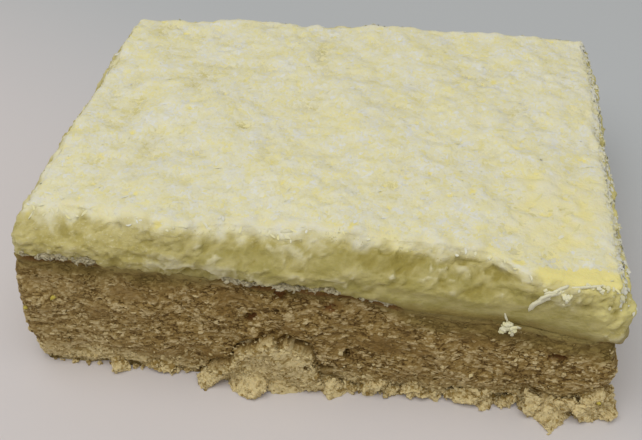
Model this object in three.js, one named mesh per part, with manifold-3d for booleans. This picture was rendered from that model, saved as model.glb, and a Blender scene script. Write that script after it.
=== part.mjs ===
// Lemon slice: a hand-cut bar of pressed biscuit-and-coconut base under lemon icing, strewn with desiccated coconut.
// Millimetres, +Z up. X runs along the bar, -Y is its front cut, and the origin is on the surface that it stands on,
// under the middle of its bounding box.
import * as THREE from "three";
import { mergeVertices } from "three/addons/utils/BufferGeometryUtils.js";
import Module from "manifold-3d";

const wasm = await Module();
wasm.setup();

// Driving dimensions of the bar. It was cut by hand, so it is deeper and lower at its right-hand end.
const FRONT = -37;
const LEFT = -49.1;
const RIGHT = 47.9;
const BACK_LEFT = [-47.6, 31.0];
const BACK_RIGHT = [47.9, 41.3];
const CORNER = 2.4;

// Heights along the bar: a middle value, a slope and a curvature for each level.
const ICING_TOP = { middle: 30.2, slope: -0.052, curve: -0.0005 };
const LAYER_LINE = { middle: 21.8, slope: -0.086, curve: -0.0006 };
const LAYER_GAP = 0.3;
const TOP_WAVE = 0.45;
const LINE_WAVE = 0.35;

// How far each cut side stands back from the plan (positive) or out of it (negative), by share of the layer's height.
const BASE_SIDE = [
  [0.0, 0.7],
  [0.08, 0.2],
  [0.18, -0.1],
  [0.35, -0.3],
  [0.6, -0.4],
  [0.82, 0.2],
  [0.94, 0.8],
  [1.0, 1.2],
];
const ICING_SIDE = [
  [0.0, 0.9],
  [0.1, -0.1],
  [0.25, -0.3],
  [0.5, -0.4],
  [0.7, 0.0],
  [0.86, 0.7],
  [0.96, 1.6],
  [1.0, 2.6],
];

// How much further the icing's top edge stands back along the front cut, as rows of place along the bar and depth. It
// leans back in a broad shoulder there, apart from one lobe and the right-hand end.
const SHOULDER = [
  [-49, 3.4],
  [-40, 3.8],
  [-31, 2.8],
  [-22, 0.4],
  [-12, 3.8],
  [8, 3.6],
  [17, 4.4],
  [26, 4.0],
  [33, 0.0],
  [50, 0.0],
];
const SHOULDER_FOOT = 0.4; // share of the icing's height at which the shoulder starts
const SHOULDER_FADE = [18, 36]; // how far in front of the middle it fades in along the two ends
const SMEAR = 0.7; // the cut dragged the icing this far out at the right-hand end
const TUCK = 1.2; // and left it this far short of the base at the left-hand end

// Fineness of the mesh
const AROUND = 100;
const BASE_ROWS = 10;
const ICING_ROWS = 7;
const TOP_RINGS = [0.9, 0.7, 0.4];
const HIDDEN_RING = 0.9;

// Relief of the cut sides
const CRAG = 0.4;
const GRIT = 0.42;
const DRAG = 0.35;
const RAGGED_HEM = 0.9;

// Crumbs that broke from the foot of the cut and still cling to it: place along the bar, middle of its height, how far
// its middle stands before the front cut, and its half width, half depth and half height.
const FRONT_CRUMBS = [
  { x: -15.4, z: 3.6, out: 0.3, size: [4.6, 1.9, 3.4] },
  { x: -8.4, z: 4.9, out: 0.2, size: [4.4, 1.7, 4.3] },
  { x: -2.4, z: 3.6, out: 0.2, size: [4.0, 1.7, 3.9] },
  { x: -17.4, z: 1.6, out: 1.4, size: [2.4, 1.6, 1.7] },
  { x: -11.0, z: 1.3, out: 1.9, size: [2.7, 1.9, 1.5] },
  { x: -4.8, z: 1.2, out: 1.1, size: [2.2, 1.5, 1.4] },
  { x: 3.0, z: 1.3, out: 0.5, size: [2.4, 2.0, 1.4] },
  { x: 10.4, z: 1.6, out: -0.6, size: [1.8, 1.7, 1.3] },
  { x: 16.4, z: 1.9, out: -0.6, size: [1.6, 1.6, 1.3] },
  { x: 26.8, z: 1.7, out: 0.2, size: [2.7, 2.0, 1.7] },
  { x: 36.4, z: 2.3, out: 1.3, size: [3.1, 2.2, 2.4] },
  { x: 40.2, z: 1.9, out: 2.4, size: [2.9, 2.4, 2.1] },
  { x: 45.8, z: 3.4, out: 0.1, size: [2.5, 2.2, 2.4] },
  { x: 45.0, z: 1.5, out: 0.8, size: [2.7, 1.7, 1.6] },
  { x: 47.8, z: 1.5, out: -1.2, size: [2.0, 2.4, 1.6] },
  { x: -27.0, z: 1.2, out: -0.6, size: [2.2, 1.7, 1.2] },
  { x: -34.3, z: 1.3, out: -0.6, size: [2.0, 1.6, 1.2] },
];
const OTHER_CRUMBS = 13; // smaller ones, spread along the foot of the other three cuts
const CRUMB_ROUGHNESS = 0.24;

// Coconut: the largest shreds, fused where they lie
const SHREDS = 77;
const TOP_SPREAD = 0.85;
const EDGE_SHREDS = 24;
const SHRED_LENGTH = [5.4, 2.4];
const SHRED_WIDTH = 0.95;
const SHRED_THICKNESS = 0.75;
const LONG_SHRED = {
  x: 36.4,
  back: 0.7,
  drop: 2.4,
  length: 7.4,
  width: 1.1,
  thickness: 0.8,
  bend: 0.9,
  turn: 0.12,
  dip: 0.35,
};
const TUFT = { x: 30.2, z: 20.2, out: 0.7, turns: [0.3, 1.2, 2.4], length: 3.2 };
const GOLDEN = [0.7548776662, 0.5698402909]; // steps that spread any number of places evenly over a square

const CORNERS = [[LEFT, FRONT], [RIGHT, FRONT], BACK_RIGHT, BACK_LEFT].map((place) => new THREE.Vector2(...place));

// A fixed series of numbers from 0 to 1, one for each place in the series.
let drawn = 0;
function draw() {
  drawn += 1;
  return THREE.MathUtils.seededRandom(7919 * drawn + 13);
}

function between(low, high) {
  return THREE.MathUtils.lerp(low, high, draw());
}

// The value of a table of [share, value] rows at a share, eased from row to row.
function along(table, share) {
  const next = Math.max(1, table.findIndex((row) => row[0] >= share));
  const [[x0, y0], [x1, y1]] = [table[next - 1], table[next]];
  return THREE.MathUtils.lerp(y0, y1, THREE.MathUtils.smoothstep(share, x0, x1));
}

// A smooth ripple of about -1 to 1 through space, whose waves are about as long as asked.
function ripple(x, y, z, wave, phase) {
  const k = (2 * Math.PI) / wave;
  const a = Math.sin(k * (0.8 * x + 0.6 * y) + 1.3 * Math.sin(0.71 * k * z + phase));
  const b = Math.sin(k * (0.6 * y - 0.8 * z) + 1.7 * Math.sin(0.53 * k * x - phase));
  const c = Math.sin(k * (0.7 * z + 0.7 * x) + 1.1 * Math.sin(0.61 * k * y + 2 * phase));
  return (a + b + c) / 2.2;
}

function level(heights, x) {
  return heights.middle + heights.slope * x + heights.curve * x * x;
}

function icingTop(x, y) {
  return level(ICING_TOP, x) + TOP_WAVE * ripple(x, y, 0, 21, 0.4);
}

function layerLine(x, y) {
  return level(LAYER_LINE, x) + LINE_WAVE * ripple(x, y, 0, 17, 2.1);
}

// The plan of the cut: a four-sided outline with rounded corners, as evenly spaced points, each with the way out of it.
function planPoints(count) {
  const plan = new THREE.Path();
  CORNERS.forEach((corner, i) => {
    const before = CORNERS[(i + 3) % 4].clone().sub(corner).setLength(CORNER).add(corner);
    const after = CORNERS[(i + 1) % 4].clone().sub(corner).setLength(CORNER).add(corner);
    if (i === 0) plan.moveTo(before.x, before.y);
    else plan.lineTo(before.x, before.y);
    plan.quadraticCurveTo(corner.x, corner.y, after.x, after.y);
  });
  plan.closePath();
  const points = plan.getSpacedPoints(count).slice(0, count);
  return points.map((point, i) => {
    const ahead = points[(i + 1) % count].clone().sub(points[(i + count - 1) % count]).normalize();
    return { x: point.x, y: point.y, outX: ahead.y, outY: -ahead.x };
  });
}

const PLAN = planPoints(AROUND);

function shifted(point, inset) {
  return { x: point.x - point.outX * inset, y: point.y - point.outY * inset };
}

// A closed solid over rings of points that all have the same count, from the lowest ring to the highest, with a middle
// point that closes each end.
function loft(rings, bottom, top) {
  const count = rings[0].length;
  const positions = [...rings.flat(), bottom, top].flatMap((p) => [p.x, p.y, p.z]);
  const bottomAt = rings.length * count;
  const index = [];
  for (let i = 0; i < count; i++) {
    const j = (i + 1) % count;
    index.push(bottomAt, j, i);
    for (let r = 0; r + 1 < rings.length; r++) {
      const low = r * count;
      const high = low + count;
      index.push(low + i, low + j, high + j, low + i, high + j, high + i);
    }
    const last = bottomAt - count;
    index.push(last + i, last + j, bottomAt + 1);
  }
  const geometry = new THREE.BufferGeometry();
  geometry.setAttribute("position", new THREE.Float32BufferAttribute(positions, 3));
  geometry.setIndex(index);
  return geometry;
}

// A ring drawn in towards the middle of the plan, at the height that a level function gives.
function innerRing(ring, share, heightAt) {
  return ring.map((p) => ({ x: p.x * share, y: p.y * share, z: heightAt(p.x * share, p.y * share) }));
}

function solidOf(geometry) {
  const bare = new THREE.BufferGeometry();
  bare.setAttribute("position", geometry.getAttribute("position"));
  bare.setIndex(geometry.getIndex());
  const merged = mergeVertices(bare, 1e-4);
  const mesh = new wasm.Mesh({
    numProp: 3,
    vertProperties: new Float32Array(merged.getAttribute("position").array),
    triVerts: new Uint32Array(merged.getIndex().array),
  });
  return new wasm.Manifold(mesh);
}

function geometryOf(solid) {
  const mesh = solid.getMesh();
  const geometry = new THREE.BufferGeometry();
  geometry.setAttribute("position", new THREE.BufferAttribute(mesh.vertProperties, 3));
  geometry.setIndex(new THREE.BufferAttribute(mesh.triVerts, 1));
  geometry.computeVertexNormals();
  return geometry;
}

// The cut side of the base at one row: crags and grit stand out of the profile, and the foot is ragged.
function baseRing(share) {
  return PLAN.map((point) => {
    const line = layerLine(point.x, point.y) - LAYER_GAP / 2;
    const z = share * line;
    const crag = CRAG * ripple(point.x, point.y, z, 7.5, 0.9) + GRIT * (2 * draw() - 1);
    const foot = THREE.MathUtils.smoothstep(z, 0, 3);
    const hem = (1 - foot) * RAGGED_HEM * Math.max(0, ripple(point.x, point.y, 0, 9, 1.7));
    const inset = along(BASE_SIDE, share) + hem - crag * (0.3 + 0.7 * foot);
    return { ...shifted(point, inset), z };
  });
}

function baseCore() {
  const rings = [];
  for (let row = 0; row <= BASE_ROWS; row++) rings.push(baseRing(row / BASE_ROWS));
  const heightAt = (x, y) => layerLine(x, y) - LAYER_GAP / 2;
  rings.push(innerRing(PLAN, HIDDEN_RING, heightAt));
  return loft(rings, { x: 0, y: 0, z: 0 }, { x: 0, y: 0, z: heightAt(0, 0) });
}

// A rough crumb: a ball of triangles with each corner pushed in or out.
function crumb(centre, halfSizes, detail) {
  const ball = mergeVertices(new THREE.IcosahedronGeometry(1, detail).deleteAttribute("uv").deleteAttribute("normal"));
  const corners = ball.getAttribute("position");
  const corner = new THREE.Vector3();
  for (let i = 0; i < corners.count; i++) {
    corner.fromBufferAttribute(corners, i);
    corner.multiplyScalar(1 + CRUMB_ROUGHNESS * (2 * draw() - 1));
    corner.multiply(halfSizes).add(centre);
    corners.setXYZ(i, corner.x, corner.y, Math.max(0.05, corner.z));
  }
  return ball;
}

function frontCrumbs() {
  return FRONT_CRUMBS.map(({ x, z, out, size }) =>
    crumb(new THREE.Vector3(x, FRONT - out, z), new THREE.Vector3(...size), 1),
  );
}

function otherCrumbs() {
  const sides = PLAN.filter((point) => point.outY > -0.9);
  return Array.from({ length: OTHER_CRUMBS }, (_, i) => {
    const point = sides[Math.floor(((i + 0.7 * draw()) / OTHER_CRUMBS) * sides.length)];
    const size = between(1.1, 2.1);
    const place = shifted(point, between(0.7, 1.4));
    const centre = new THREE.Vector3(place.x, place.y, between(0.9, 1.6));
    return crumb(centre, new THREE.Vector3(size * 1.1, size * 1.1, size * 0.8), 0);
  });
}

function crumbBase() {
  const crumbs = [...frontCrumbs(), ...otherCrumbs()].map(solidOf);
  return geometryOf(wasm.Manifold.union([solidOf(baseCore()), ...crumbs]));
}

// The cut side of the icing at one row: long drag marks run along it, and its right-hand end is smeared out.
function icingRing(share) {
  return PLAN.map((point) => {
    const low = layerLine(point.x, point.y) + LAYER_GAP / 2;
    const z = THREE.MathUtils.lerp(low, icingTop(point.x, point.y), share);
    const drag = DRAG * ripple(0.35 * point.x, 0.35 * point.y, 1.6 * z, 6, 0.3);
    const bulge = Math.sin(Math.PI * THREE.MathUtils.clamp(1.25 * share + 0.12, 0, 1));
    const smear = SMEAR * THREE.MathUtils.smoothstep(point.x, RIGHT - 10, RIGHT) * bulge;
    const tuck = TUCK * Math.max(0, -point.outX);
    const place = shifted(point, along(ICING_SIDE, share) - drag - smear + tuck);
    const lean = THREE.MathUtils.smoothstep(share, SHOULDER_FOOT, 1);
    const near = THREE.MathUtils.smoothstep(-place.y, ...SHOULDER_FADE);
    return { x: place.x, y: place.y + along(SHOULDER, place.x) * lean * near, z };
  });
}

function icingCore() {
  const heightUnder = (x, y) => layerLine(x, y) + LAYER_GAP / 2;
  const rings = [];
  for (let row = 0; row <= ICING_ROWS; row++) rings.push(icingRing(row / ICING_ROWS));
  const under = innerRing(PLAN, HIDDEN_RING, heightUnder);
  const rim = rings[rings.length - 1];
  const over = TOP_RINGS.map((share) => innerRing(rim, share, icingTop));
  const bottom = { x: 0, y: 0, z: heightUnder(0, 0) };
  return loft([under, ...rings, ...over], bottom, { x: 0, y: 0, z: icingTop(0, 0) });
}

// A shred of coconut: a thin bar that tapers to its ends and bends a little along its length.
function shred(length, width, thickness, bend) {
  const bar = mergeVertices(
    new THREE.BoxGeometry(length, width, thickness, 3, 1, 1).deleteAttribute("uv").deleteAttribute("normal"),
  );
  const corners = bar.getAttribute("position");
  for (let i = 0; i < corners.count; i++) {
    const share = (2 * corners.getX(i)) / length;
    const taper = 1 - 0.45 * share * share;
    const y = corners.getY(i) * taper + bend * width * (share * share - 0.4);
    corners.setXYZ(i, corners.getX(i), y, corners.getZ(i) * taper);
  }
  return bar;
}

// Places on the top, spread evenly by a two-way golden series between the four corners.
function topPlace(i) {
  const [u, v] = GOLDEN.map((step) => 0.5 + TOP_SPREAD * (((0.5 + i * step) % 1) - 0.5));
  const near = CORNERS[0].clone().lerp(CORNERS[1], u);
  const far = CORNERS[3].clone().lerp(CORNERS[2], u);
  return near.lerp(far, v);
}

// The height of a solid's upper face under one point.
function heightOn(mesh, x, y) {
  const down = new THREE.Raycaster(new THREE.Vector3(x, y, 100), new THREE.Vector3(0, 0, -1));
  return down.intersectObject(mesh)[0].point.z;
}

function lyingShreds(core) {
  const mesh = new THREE.Mesh(core);
  return Array.from({ length: SHREDS }, (_, i) => {
    const { x, y } = topPlace(i);
    const length = THREE.MathUtils.lerp(...SHRED_LENGTH, Math.sqrt(i / SHREDS));
    const bar = shred(length, SHRED_WIDTH * between(0.8, 1.3), SHRED_THICKNESS, between(-0.6, 0.6));
    bar.rotateX(between(-0.5, 0.5)).rotateY(between(-0.16, 0.16)).rotateZ(between(0, Math.PI));
    return bar.translate(x, y, heightOn(mesh, x, y) + 0.1);
  });
}

// Shreds on the rounded top edge, lying along it or poking out over the cut.
function edgeShreds() {
  const rim = icingRing(0.93);
  return Array.from({ length: EDGE_SHREDS }, (_, i) => {
    const at = Math.floor(((i + 0.6 * draw()) / EDGE_SHREDS) * AROUND);
    const heading = Math.atan2(PLAN[at].outY, PLAN[at].outX);
    const bar = shred(between(2.0, 3.4), SHRED_WIDTH, SHRED_THICKNESS, between(-0.5, 0.5));
    bar.rotateY(between(0.1, 0.7)).rotateZ(heading + between(-0.9, 0.9));
    return bar.translate(rim[at].x, rim[at].y, rim[at].z);
  });
}

// The long curled shred that lies over the front edge near the right-hand end.
function longShred() {
  const { x, back, drop, length, width, thickness, bend, turn, dip } = LONG_SHRED;
  const bar = shred(length, width, thickness, bend);
  bar.rotateY(-dip).rotateZ(turn);
  return bar.translate(x, FRONT + back, level(ICING_TOP, x) - drop);
}

// The white tuft stuck to the front cut of the icing: short shreds that cross each other.
function tuft() {
  return TUFT.turns.map((turn) => {
    const bar = shred(TUFT.length, SHRED_WIDTH, SHRED_WIDTH, between(-0.5, 0.5));
    return bar.rotateY(turn).translate(TUFT.x, FRONT - TUFT.out, TUFT.z);
  });
}

function lemonIcing() {
  const core = icingCore();
  const shreds = [...lyingShreds(core), ...edgeShreds(), longShred(), ...tuft()].map(solidOf);
  return geometryOf(wasm.Manifold.union([solidOf(core), ...shreds]));
}

function piece(name, geometry, colour, roughness) {
  const material = new THREE.MeshStandardMaterial({ color: colour, roughness, metalness: 0 });
  const mesh = new THREE.Mesh(geometry, material);
  mesh.name = name;
  return mesh;
}

const slice = new THREE.Group();
slice.add(piece("crumb_base", crumbBase(), 0xc2a878, 0.9));
slice.add(piece("lemon_icing", lemonIcing(), 0xefe6ae, 0.75));

export default slice;
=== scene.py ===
"""Lemon slice: a pressed biscuit-and-coconut base, lemon icing and desiccated coconut.

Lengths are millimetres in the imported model's own frame, and become metres where a mesh is made. X runs
along the bar, -Y is its front cut, and z = 0 is what it stands on.
"""

import bpy
import numpy as np
from mathutils import Matrix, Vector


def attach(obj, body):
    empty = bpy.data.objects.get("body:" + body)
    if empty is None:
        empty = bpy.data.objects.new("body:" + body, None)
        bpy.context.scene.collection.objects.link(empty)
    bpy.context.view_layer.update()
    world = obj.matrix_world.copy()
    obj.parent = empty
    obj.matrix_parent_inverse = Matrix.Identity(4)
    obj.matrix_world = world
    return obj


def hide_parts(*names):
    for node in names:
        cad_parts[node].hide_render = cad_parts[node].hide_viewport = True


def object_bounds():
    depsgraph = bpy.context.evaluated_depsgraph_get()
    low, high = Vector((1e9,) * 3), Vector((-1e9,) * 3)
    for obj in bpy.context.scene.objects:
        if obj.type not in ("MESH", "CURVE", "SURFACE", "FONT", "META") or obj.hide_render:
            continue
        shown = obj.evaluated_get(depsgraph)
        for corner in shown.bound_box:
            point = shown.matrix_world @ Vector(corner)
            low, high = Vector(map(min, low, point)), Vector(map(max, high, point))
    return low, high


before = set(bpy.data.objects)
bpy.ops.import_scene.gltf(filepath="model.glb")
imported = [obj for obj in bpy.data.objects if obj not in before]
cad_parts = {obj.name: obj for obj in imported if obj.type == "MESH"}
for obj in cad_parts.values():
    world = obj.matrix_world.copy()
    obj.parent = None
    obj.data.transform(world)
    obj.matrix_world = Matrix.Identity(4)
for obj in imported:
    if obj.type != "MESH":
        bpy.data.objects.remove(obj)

CAD_BOX = [list(corner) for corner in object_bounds()]
MM = 0.001

# The bar as it was cut
FRONT, LEFT, RIGHT = -37.0, -49.1, 47.9
BACK_LEFT, BACK_RIGHT = (-47.6, 31.0), (47.9, 41.3)
CORNERS = np.array([(LEFT, FRONT), (RIGHT, FRONT), BACK_RIGHT, BACK_LEFT])

# How far the rounding of a corner reaches along its two sides, at the foot and at the icing's rim
CORNER, RIM_CORNER = 2.4, 4.4

# The icing's top and the line between the layers: height in the middle, slope and curve along the bar,
# and how high their slow waves are
ICING_TOP, TOP_WAVE = (30.2, -0.052, -0.0005), 0.45
LAYER_LINE, LINE_WAVE = (21.8, -0.086, -0.0006), 0.35

# The highest and the lowest that loose pieces reach
HEADROOM = CAD_BOX[1][2] / MM + 0.8
ON_FLOOR = 0.02

# How far each cut side stands back from the plan, by share of the layer's height; the icing's last row lies
# beyond its rim, so that the side runs on into the top without a crease
BASE_SIDE = (
    (0.0, 0.7), (0.08, 0.2), (0.18, -0.1), (0.35, -0.3),
    (0.6, -0.4), (0.82, 0.2), (0.94, 0.8), (1.0, 1.2),
)
ICING_SIDE = (
    (0.0, 0.9), (0.1, -0.1), (0.25, -0.3), (0.5, -0.4),
    (0.7, 0.0), (0.86, 0.7), (0.96, 1.6), (1.04, 3.6),
)

# How much further the icing's top edge stands back along the front cut, by place along the bar, in a
# broad shoulder that starts at this share of the icing's height
SHOULDER = (
    (-49.0, 3.4), (-40.0, 3.8), (-31.0, 2.8), (-22.0, 0.4), (-12.0, 3.8),
    (8.0, 3.6), (17.0, 4.4), (26.0, 4.0), (33.0, 0.0), (50.0, 0.0),
)
SHOULDER_FOOT = 0.4

# How far the icing is smeared outwards at the right-hand end, tucked in at the left-hand end, and set back
# further at the front of that end
SMEAR, TUCK, LEFT_TRIM = 0.7, 1.2, 0.3

# How far the base's slow crags, the icing's long drag marks and the ragged hem at the foot stand out
CRAG, DRAG, RAGGED_HEM = 0.4, 0.2, 0.9

# How far icing and base swell over the groove between them, where no ledge shows
LAP, BASE_LAP = 0.8, 1.1

# How far the icing's lowest row dips behind the base, and the hidden rings on the base's top and under
# the icing, as shares of the plan
SKIRT = 0.6
TOP_RING, UNDER_RING = 0.9, 0.88

# Fineness of the base: columns along its front, right, back and left cuts, and rows up them
BASE_COLUMNS = (460, 170, 220, 150)
BASE_ROWS = 97

# Fineness of the icing: columns along its long and its short cuts, and rows up them
ICING_COLUMNS = (288, 208)
ICING_ROWS = 38

# The chunk that broke out of the foot of the front cut: the ragged top of its outline as x and z, and
# how far it stands out
CHUNK_EDGE = np.array((
    (-18.6, 0.0), (-17.8, 3.2), (-15.4, 4.4), (-13.7, 5.2), (-12.8, 7.6), (-11.6, 8.6),
    (-10.2, 9.3), (-8.2, 11.0), (-6.6, 10.9), (-5.8, 9.7), (-4.4, 10.4), (-3.0, 9.8),
    (-1.4, 9.7), (0.2, 8.8), (0.4, 7.2), (0.9, 3.4), (2.4, 0.0),
))
CHUNK_PROUD = 1.7

# Hollows of the front cut: x, z, half width, half height and depth; the first few are stained reddish brown
STAINED = 5
HOLLOWS = (
    (-10.1, 15.0, 1.4, 0.7, 1.2),
    (-5.5, 20.0, 1.0, 0.7, 0.7),
    (38.9, 12.2, 1.9, 0.8, 1.2),
    (-0.6, 5.9, 1.2, 0.8, 3.2),
    (2.8, 18.6, 1.4, 0.8, 0.8),
    (5.6, 8.8, 0.6, 1.0, 1.6),
    (2.4, 4.9, 1.7, 0.8, 0.9),
    (23.3, 1.9, 1.7, 0.9, 1.6),
    (31.4, 1.1, 2.2, 1.2, 2.0),
)

# Where crumb was dragged out into a ledge along the icing's lower edge: from x to x, and how far it
# stands out; and over what length each ledge fades at both ends
LEDGES = ((-47.8, -33.2, 0.7), (-15.6, 14.8, 0.7), (44.0, 48.6, 0.7))
LEDGE_FADE = 2.0

# Crumbs that cling to the foot of the front cut: x, z, how far before the cut, half width, half depth,
# half height
FRONT_CRUMBS = np.array((
    (-17.4, 1.6, 1.4, 2.4, 1.6, 1.7),
    (-11.0, 1.3, 1.9, 2.7, 1.9, 1.5),
    (-4.8, 1.2, 1.1, 2.2, 1.5, 1.4),
    (3.0, 1.3, 0.5, 2.4, 2.0, 1.4),
    (10.4, 1.6, -0.6, 1.8, 1.7, 1.3),
    (16.4, 1.9, -0.6, 1.6, 1.6, 1.3),
    (26.8, 1.7, 0.2, 2.7, 2.0, 1.7),
    (36.4, 2.0, 0.9, 2.6, 1.4, 2.0),
    (40.2, 1.7, 1.2, 2.6, 1.4, 1.8),
    (45.8, 3.4, 0.1, 2.5, 2.2, 2.4),
    (45.0, 1.5, 0.8, 2.7, 1.7, 1.6),
    (47.8, 1.5, -1.2, 2.0, 2.4, 1.6),
    (-27.0, 1.2, -0.6, 2.2, 1.7, 1.2),
    (-34.3, 1.3, -0.6, 2.0, 1.6, 1.2),
))

# How many more crumbs cling to the foot of the other three cuts, and small ones to the foot of the
# front cut
OTHER_CRUMBS = 13
SMALL_CRUMBS = 46

# Fineness of one clinging crumb and of one tooth: rings, and points round each
CRUMB_RINGS, CRUMB_AROUND = 26, 38
TOOTH_RINGS, TOOTH_AROUND = 22, 20

# Pointed teeth of crumb that lie along the foot: place of the tip as x and y, then half width and
# height at the root
TEETH = np.array((
    (-24.6, -37.8, 1.4, 1.5), (-13.4, -39.9, 2.6, 2.8), (-9.0, -39.4, 1.6, 1.8), (-2.0, -38.8, 2.0, 2.2),
    (2.2, -38.7, 1.6, 2.0), (5.2, -37.9, 1.2, 1.6), (7.8, -37.9, 1.3, 1.9), (11.4, -37.6, 1.2, 1.8),
    (13.6, -37.7, 1.0, 1.5), (16.2, -37.9, 1.5, 2.4), (20.4, -38.0, 1.6, 2.2), (28.2, -39.0, 3.0, 2.8),
    (31.4, -37.4, 0.9, 1.6), (34.6, -37.6, 1.3, 2.6), (38.9, -41.9, 5.2, 4.9), (43.4, -38.6, 1.3, 2.4),
    (45.4, -38.2, 1.5, 2.6), (47.4, -38.4, 1.5, 2.4),
))

# Single shreds and flakes that show: width, thickness, then the points that each runs through as x, y, z
STRANDS = (
    (0.7, 0.35, ((33.2, -37.3, 22.2), (33.4, -37.6, 23.5), (34.5, -37.5, 24.7), (36.3, -37.1, 25.1))),
    (0.6, 0.3, ((34.1, -37.5, 24.5), (35.3, -37.4, 25.6), (36.9, -37.0, 25.8), (38.8, -36.2, 26.1))),
    (0.6, 0.3, ((34.9, -37.1, 25.7), (36.6, -37.0, 26.2), (38.5, -36.0, 26.8))),
    (0.5, 0.25, ((37.9, -36.9, 25.8), (38.4, -37.4, 25.2), (38.4, -37.5, 24.5))),
    (0.5, 0.25, ((38.5, -36.2, 26.4), (40.7, -35.9, 26.4), (43.5, -35.5, 26.9))),
    (0.35, 0.2, ((29.5, -37.0, 22.4), (29.7, -37.4, 21.3), (30.3, -37.4, 19.6))),
    (0.4, 0.2, ((30.3, -37.4, 18.6), (31.3, -37.9, 19.0), (32.5, -37.6, 18.7))),
    (0.5, 0.2, ((30.8, -37.5, 18.6), (31.2, -37.9, 17.6), (31.2, -37.6, 16.7))),
    (1.1, 0.25, ((-5.2, -32.3, 29.3), (-4.5, -32.5, 29.9), (-3.4, -32.3, 29.7))),
)

# Clots of small flakes that show: middle as x, y, z, spread along x and z, and how many flakes
CLOTS = (
    (30.6, -37.6, 18.6, 0.6, 0.55, 46),
    (29.7, -37.5, 17.8, 0.4, 0.25, 10),
    (36.7, -36.9, 26.0, 1.0, 0.3, 12),
    (38.4, -37.1, 25.0, 0.35, 0.6, 12),
    (42.5, -35.7, 26.5, 1.6, 0.3, 18),
)

# Pale flakes of crumb that show in the front cut, given in the same way
PALE_FLAKES = (
    (1.4, 0.4, ((-32.2, -36.9, 11.4), (-30.6, -37.2, 11.6), (-29.0, -36.9, 11.5))),
    (1.2, 0.4, ((3.7, -36.7, 9.9), (4.5, -37.2, 9.1), (4.3, -36.9, 8.0))),
    (0.8, 0.4, ((-17.4, -36.9, 15.0), (-16.5, -37.2, 15.2), (-15.6, -36.9, 14.8))),
)

# Bits of zest that show in the front cut, as x, y, z, and how many more there are in the other cuts
ZEST = np.array(((-48.2, -37.0, 12.9), (46.5, -38.6, 4.2), (-42.7, -37.3, 16.2)))
OTHER_ZEST = 7

# How many shreds of coconut lie on the icing, how many wisps stand at its rim, and the steps along each
# of them
SHREDS, WISPS, SHRED_STEPS = 3000, 200, 3

# Flat kinds of coconut: name, seed, how many, corners, the limits of length, of width as a share of the
# length, of thickness and of how high they lie, and the spread of how steeply they lie
COCONUT_CHIPS = (
    ("coconut_flakes", 2, 9600, 6, (0.6, 1.6), (0.4, 0.8), (0.1, 0.16), (-0.02, 0.05), 0.02),
    ("coconut_grains", 3, 14000, 4, (0.35, 0.9), (0.5, 0.9), (0.12, 0.2), (-0.04, 0.08), 0.04),
)

# Bits pressed into the cuts of the base: name, seed, how many, corners, the limits of length, width and
# thickness, the share that lies flat against the cut, and their middle lightness
PRESSED_BITS = (
    ("biscuit_bits", 5, 7000, 5, (0.5, 1.2), (0.4, 0.75), (0.14, 0.3), 0.4, 0.5),
    ("pale_bits", 6, 1800, 6, (0.5, 1.4), (0.4, 0.8), (0.14, 0.3), 0.6, 0.78),
)

# Ovals where little coconut lies, seen from above: a patch near the front right-hand corner, the rim before
# it and a spot beside it, each as x, y, half width and half depth
BARE_PATCH, BARE_RIM, BARE_SPOT = (37.4, -20.0, 8.0, 12.5), (40.2, -34.4, 6.4, 2.4), (31.1, -33.1, 1.4, 0.9)

# How many loose bits lie on the clinging crumbs and at the foot, and how many flakes on the ledges
LOOSE_BITS, LEDGE_FLAKES = 8000, 420


# Fixed randomness

# Primes that the three numbers of a cell and the seed are multiplied by, then the rounds that mix them,
# each as a shift to the right and an odd factor
CELL_PRIMES, SEED_PRIME = (73856093, 19349663, 83492791), 668265263
ROUNDS = ((15, 2246822519), (13, 3266489917), (16, 668265263))


def cell_random(cells, seed):
    """A fixed value from 0 to 1 for each whole-numbered cell, mixed from its numbers and the seed."""
    mixed = (cells.astype(np.int64) * np.array(CELL_PRIMES)).sum(-1) + seed * SEED_PRIME
    for shift, factor in ROUNDS:
        mixed = ((mixed ^ (mixed >> shift)) * factor) & 0xFFFFFFFF
    return (mixed & 0xFFFFFF) / 0xFFFFFF


def ease(value, low=0.0, high=1.0):
    """0 below low, 1 above high, and the smooth step t * t * (3 - 2 t) between them."""
    t = np.clip((value - low) / (high - low), 0, 1)
    return t * t * (3 - 2 * t)


def noise(points, wave, seed):
    """Smooth noise from -1 to 1: random values at the corners of cubes with sides of one wave, eased
    between."""
    scaled = points / wave
    cell = np.floor(scaled)
    t = ease(scaled - cell)
    total = np.zeros(len(points))
    for corner in np.ndindex(2, 2, 2):
        weight = np.prod(np.where(np.array(corner), t, 1 - t), axis=-1)
        total += weight * cell_random(cell + np.array(corner), seed)
    return 2 * total - 1


def lumps(points, size, seed):
    """Cells of the given size, each round a seed point of its own. Gives the distance to the nearest
    seed point and to the next nearest, as shares of the size, and the nearest cell's own value from 0
    to 1."""
    scaled = points / size
    cell = np.floor(scaled)
    first = np.full(len(points), 9.0)
    second = np.full(len(points), 9.0)
    owner = np.zeros(len(points))
    for step in np.ndindex(3, 3, 3):
        other = cell + np.array(step) - 1
        place = other + np.stack([cell_random(other, seed + axis) for axis in range(3)], axis=-1)
        distance = np.linalg.norm(scaled - place, axis=-1)
        closer = distance < first
        second = np.where(closer, first, np.minimum(second, distance))
        first = np.where(closer, distance, first)
        owner = np.where(closer, cell_random(other, seed + 3), owner)
    return first, second, owner


def slabs(points, size, seed):
    """Broken slabs: each cell's top stands at a height of its own, from -0.5 to 0.5, and drops by 0.5
    in the cracks between cells. Gives that height and the cell's own value."""
    crack = 0.22
    first, second, owner = lumps(points, size, seed)
    return owner - 0.5 - 0.5 * (1 - ease((second - first) / crack)), owner


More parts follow.
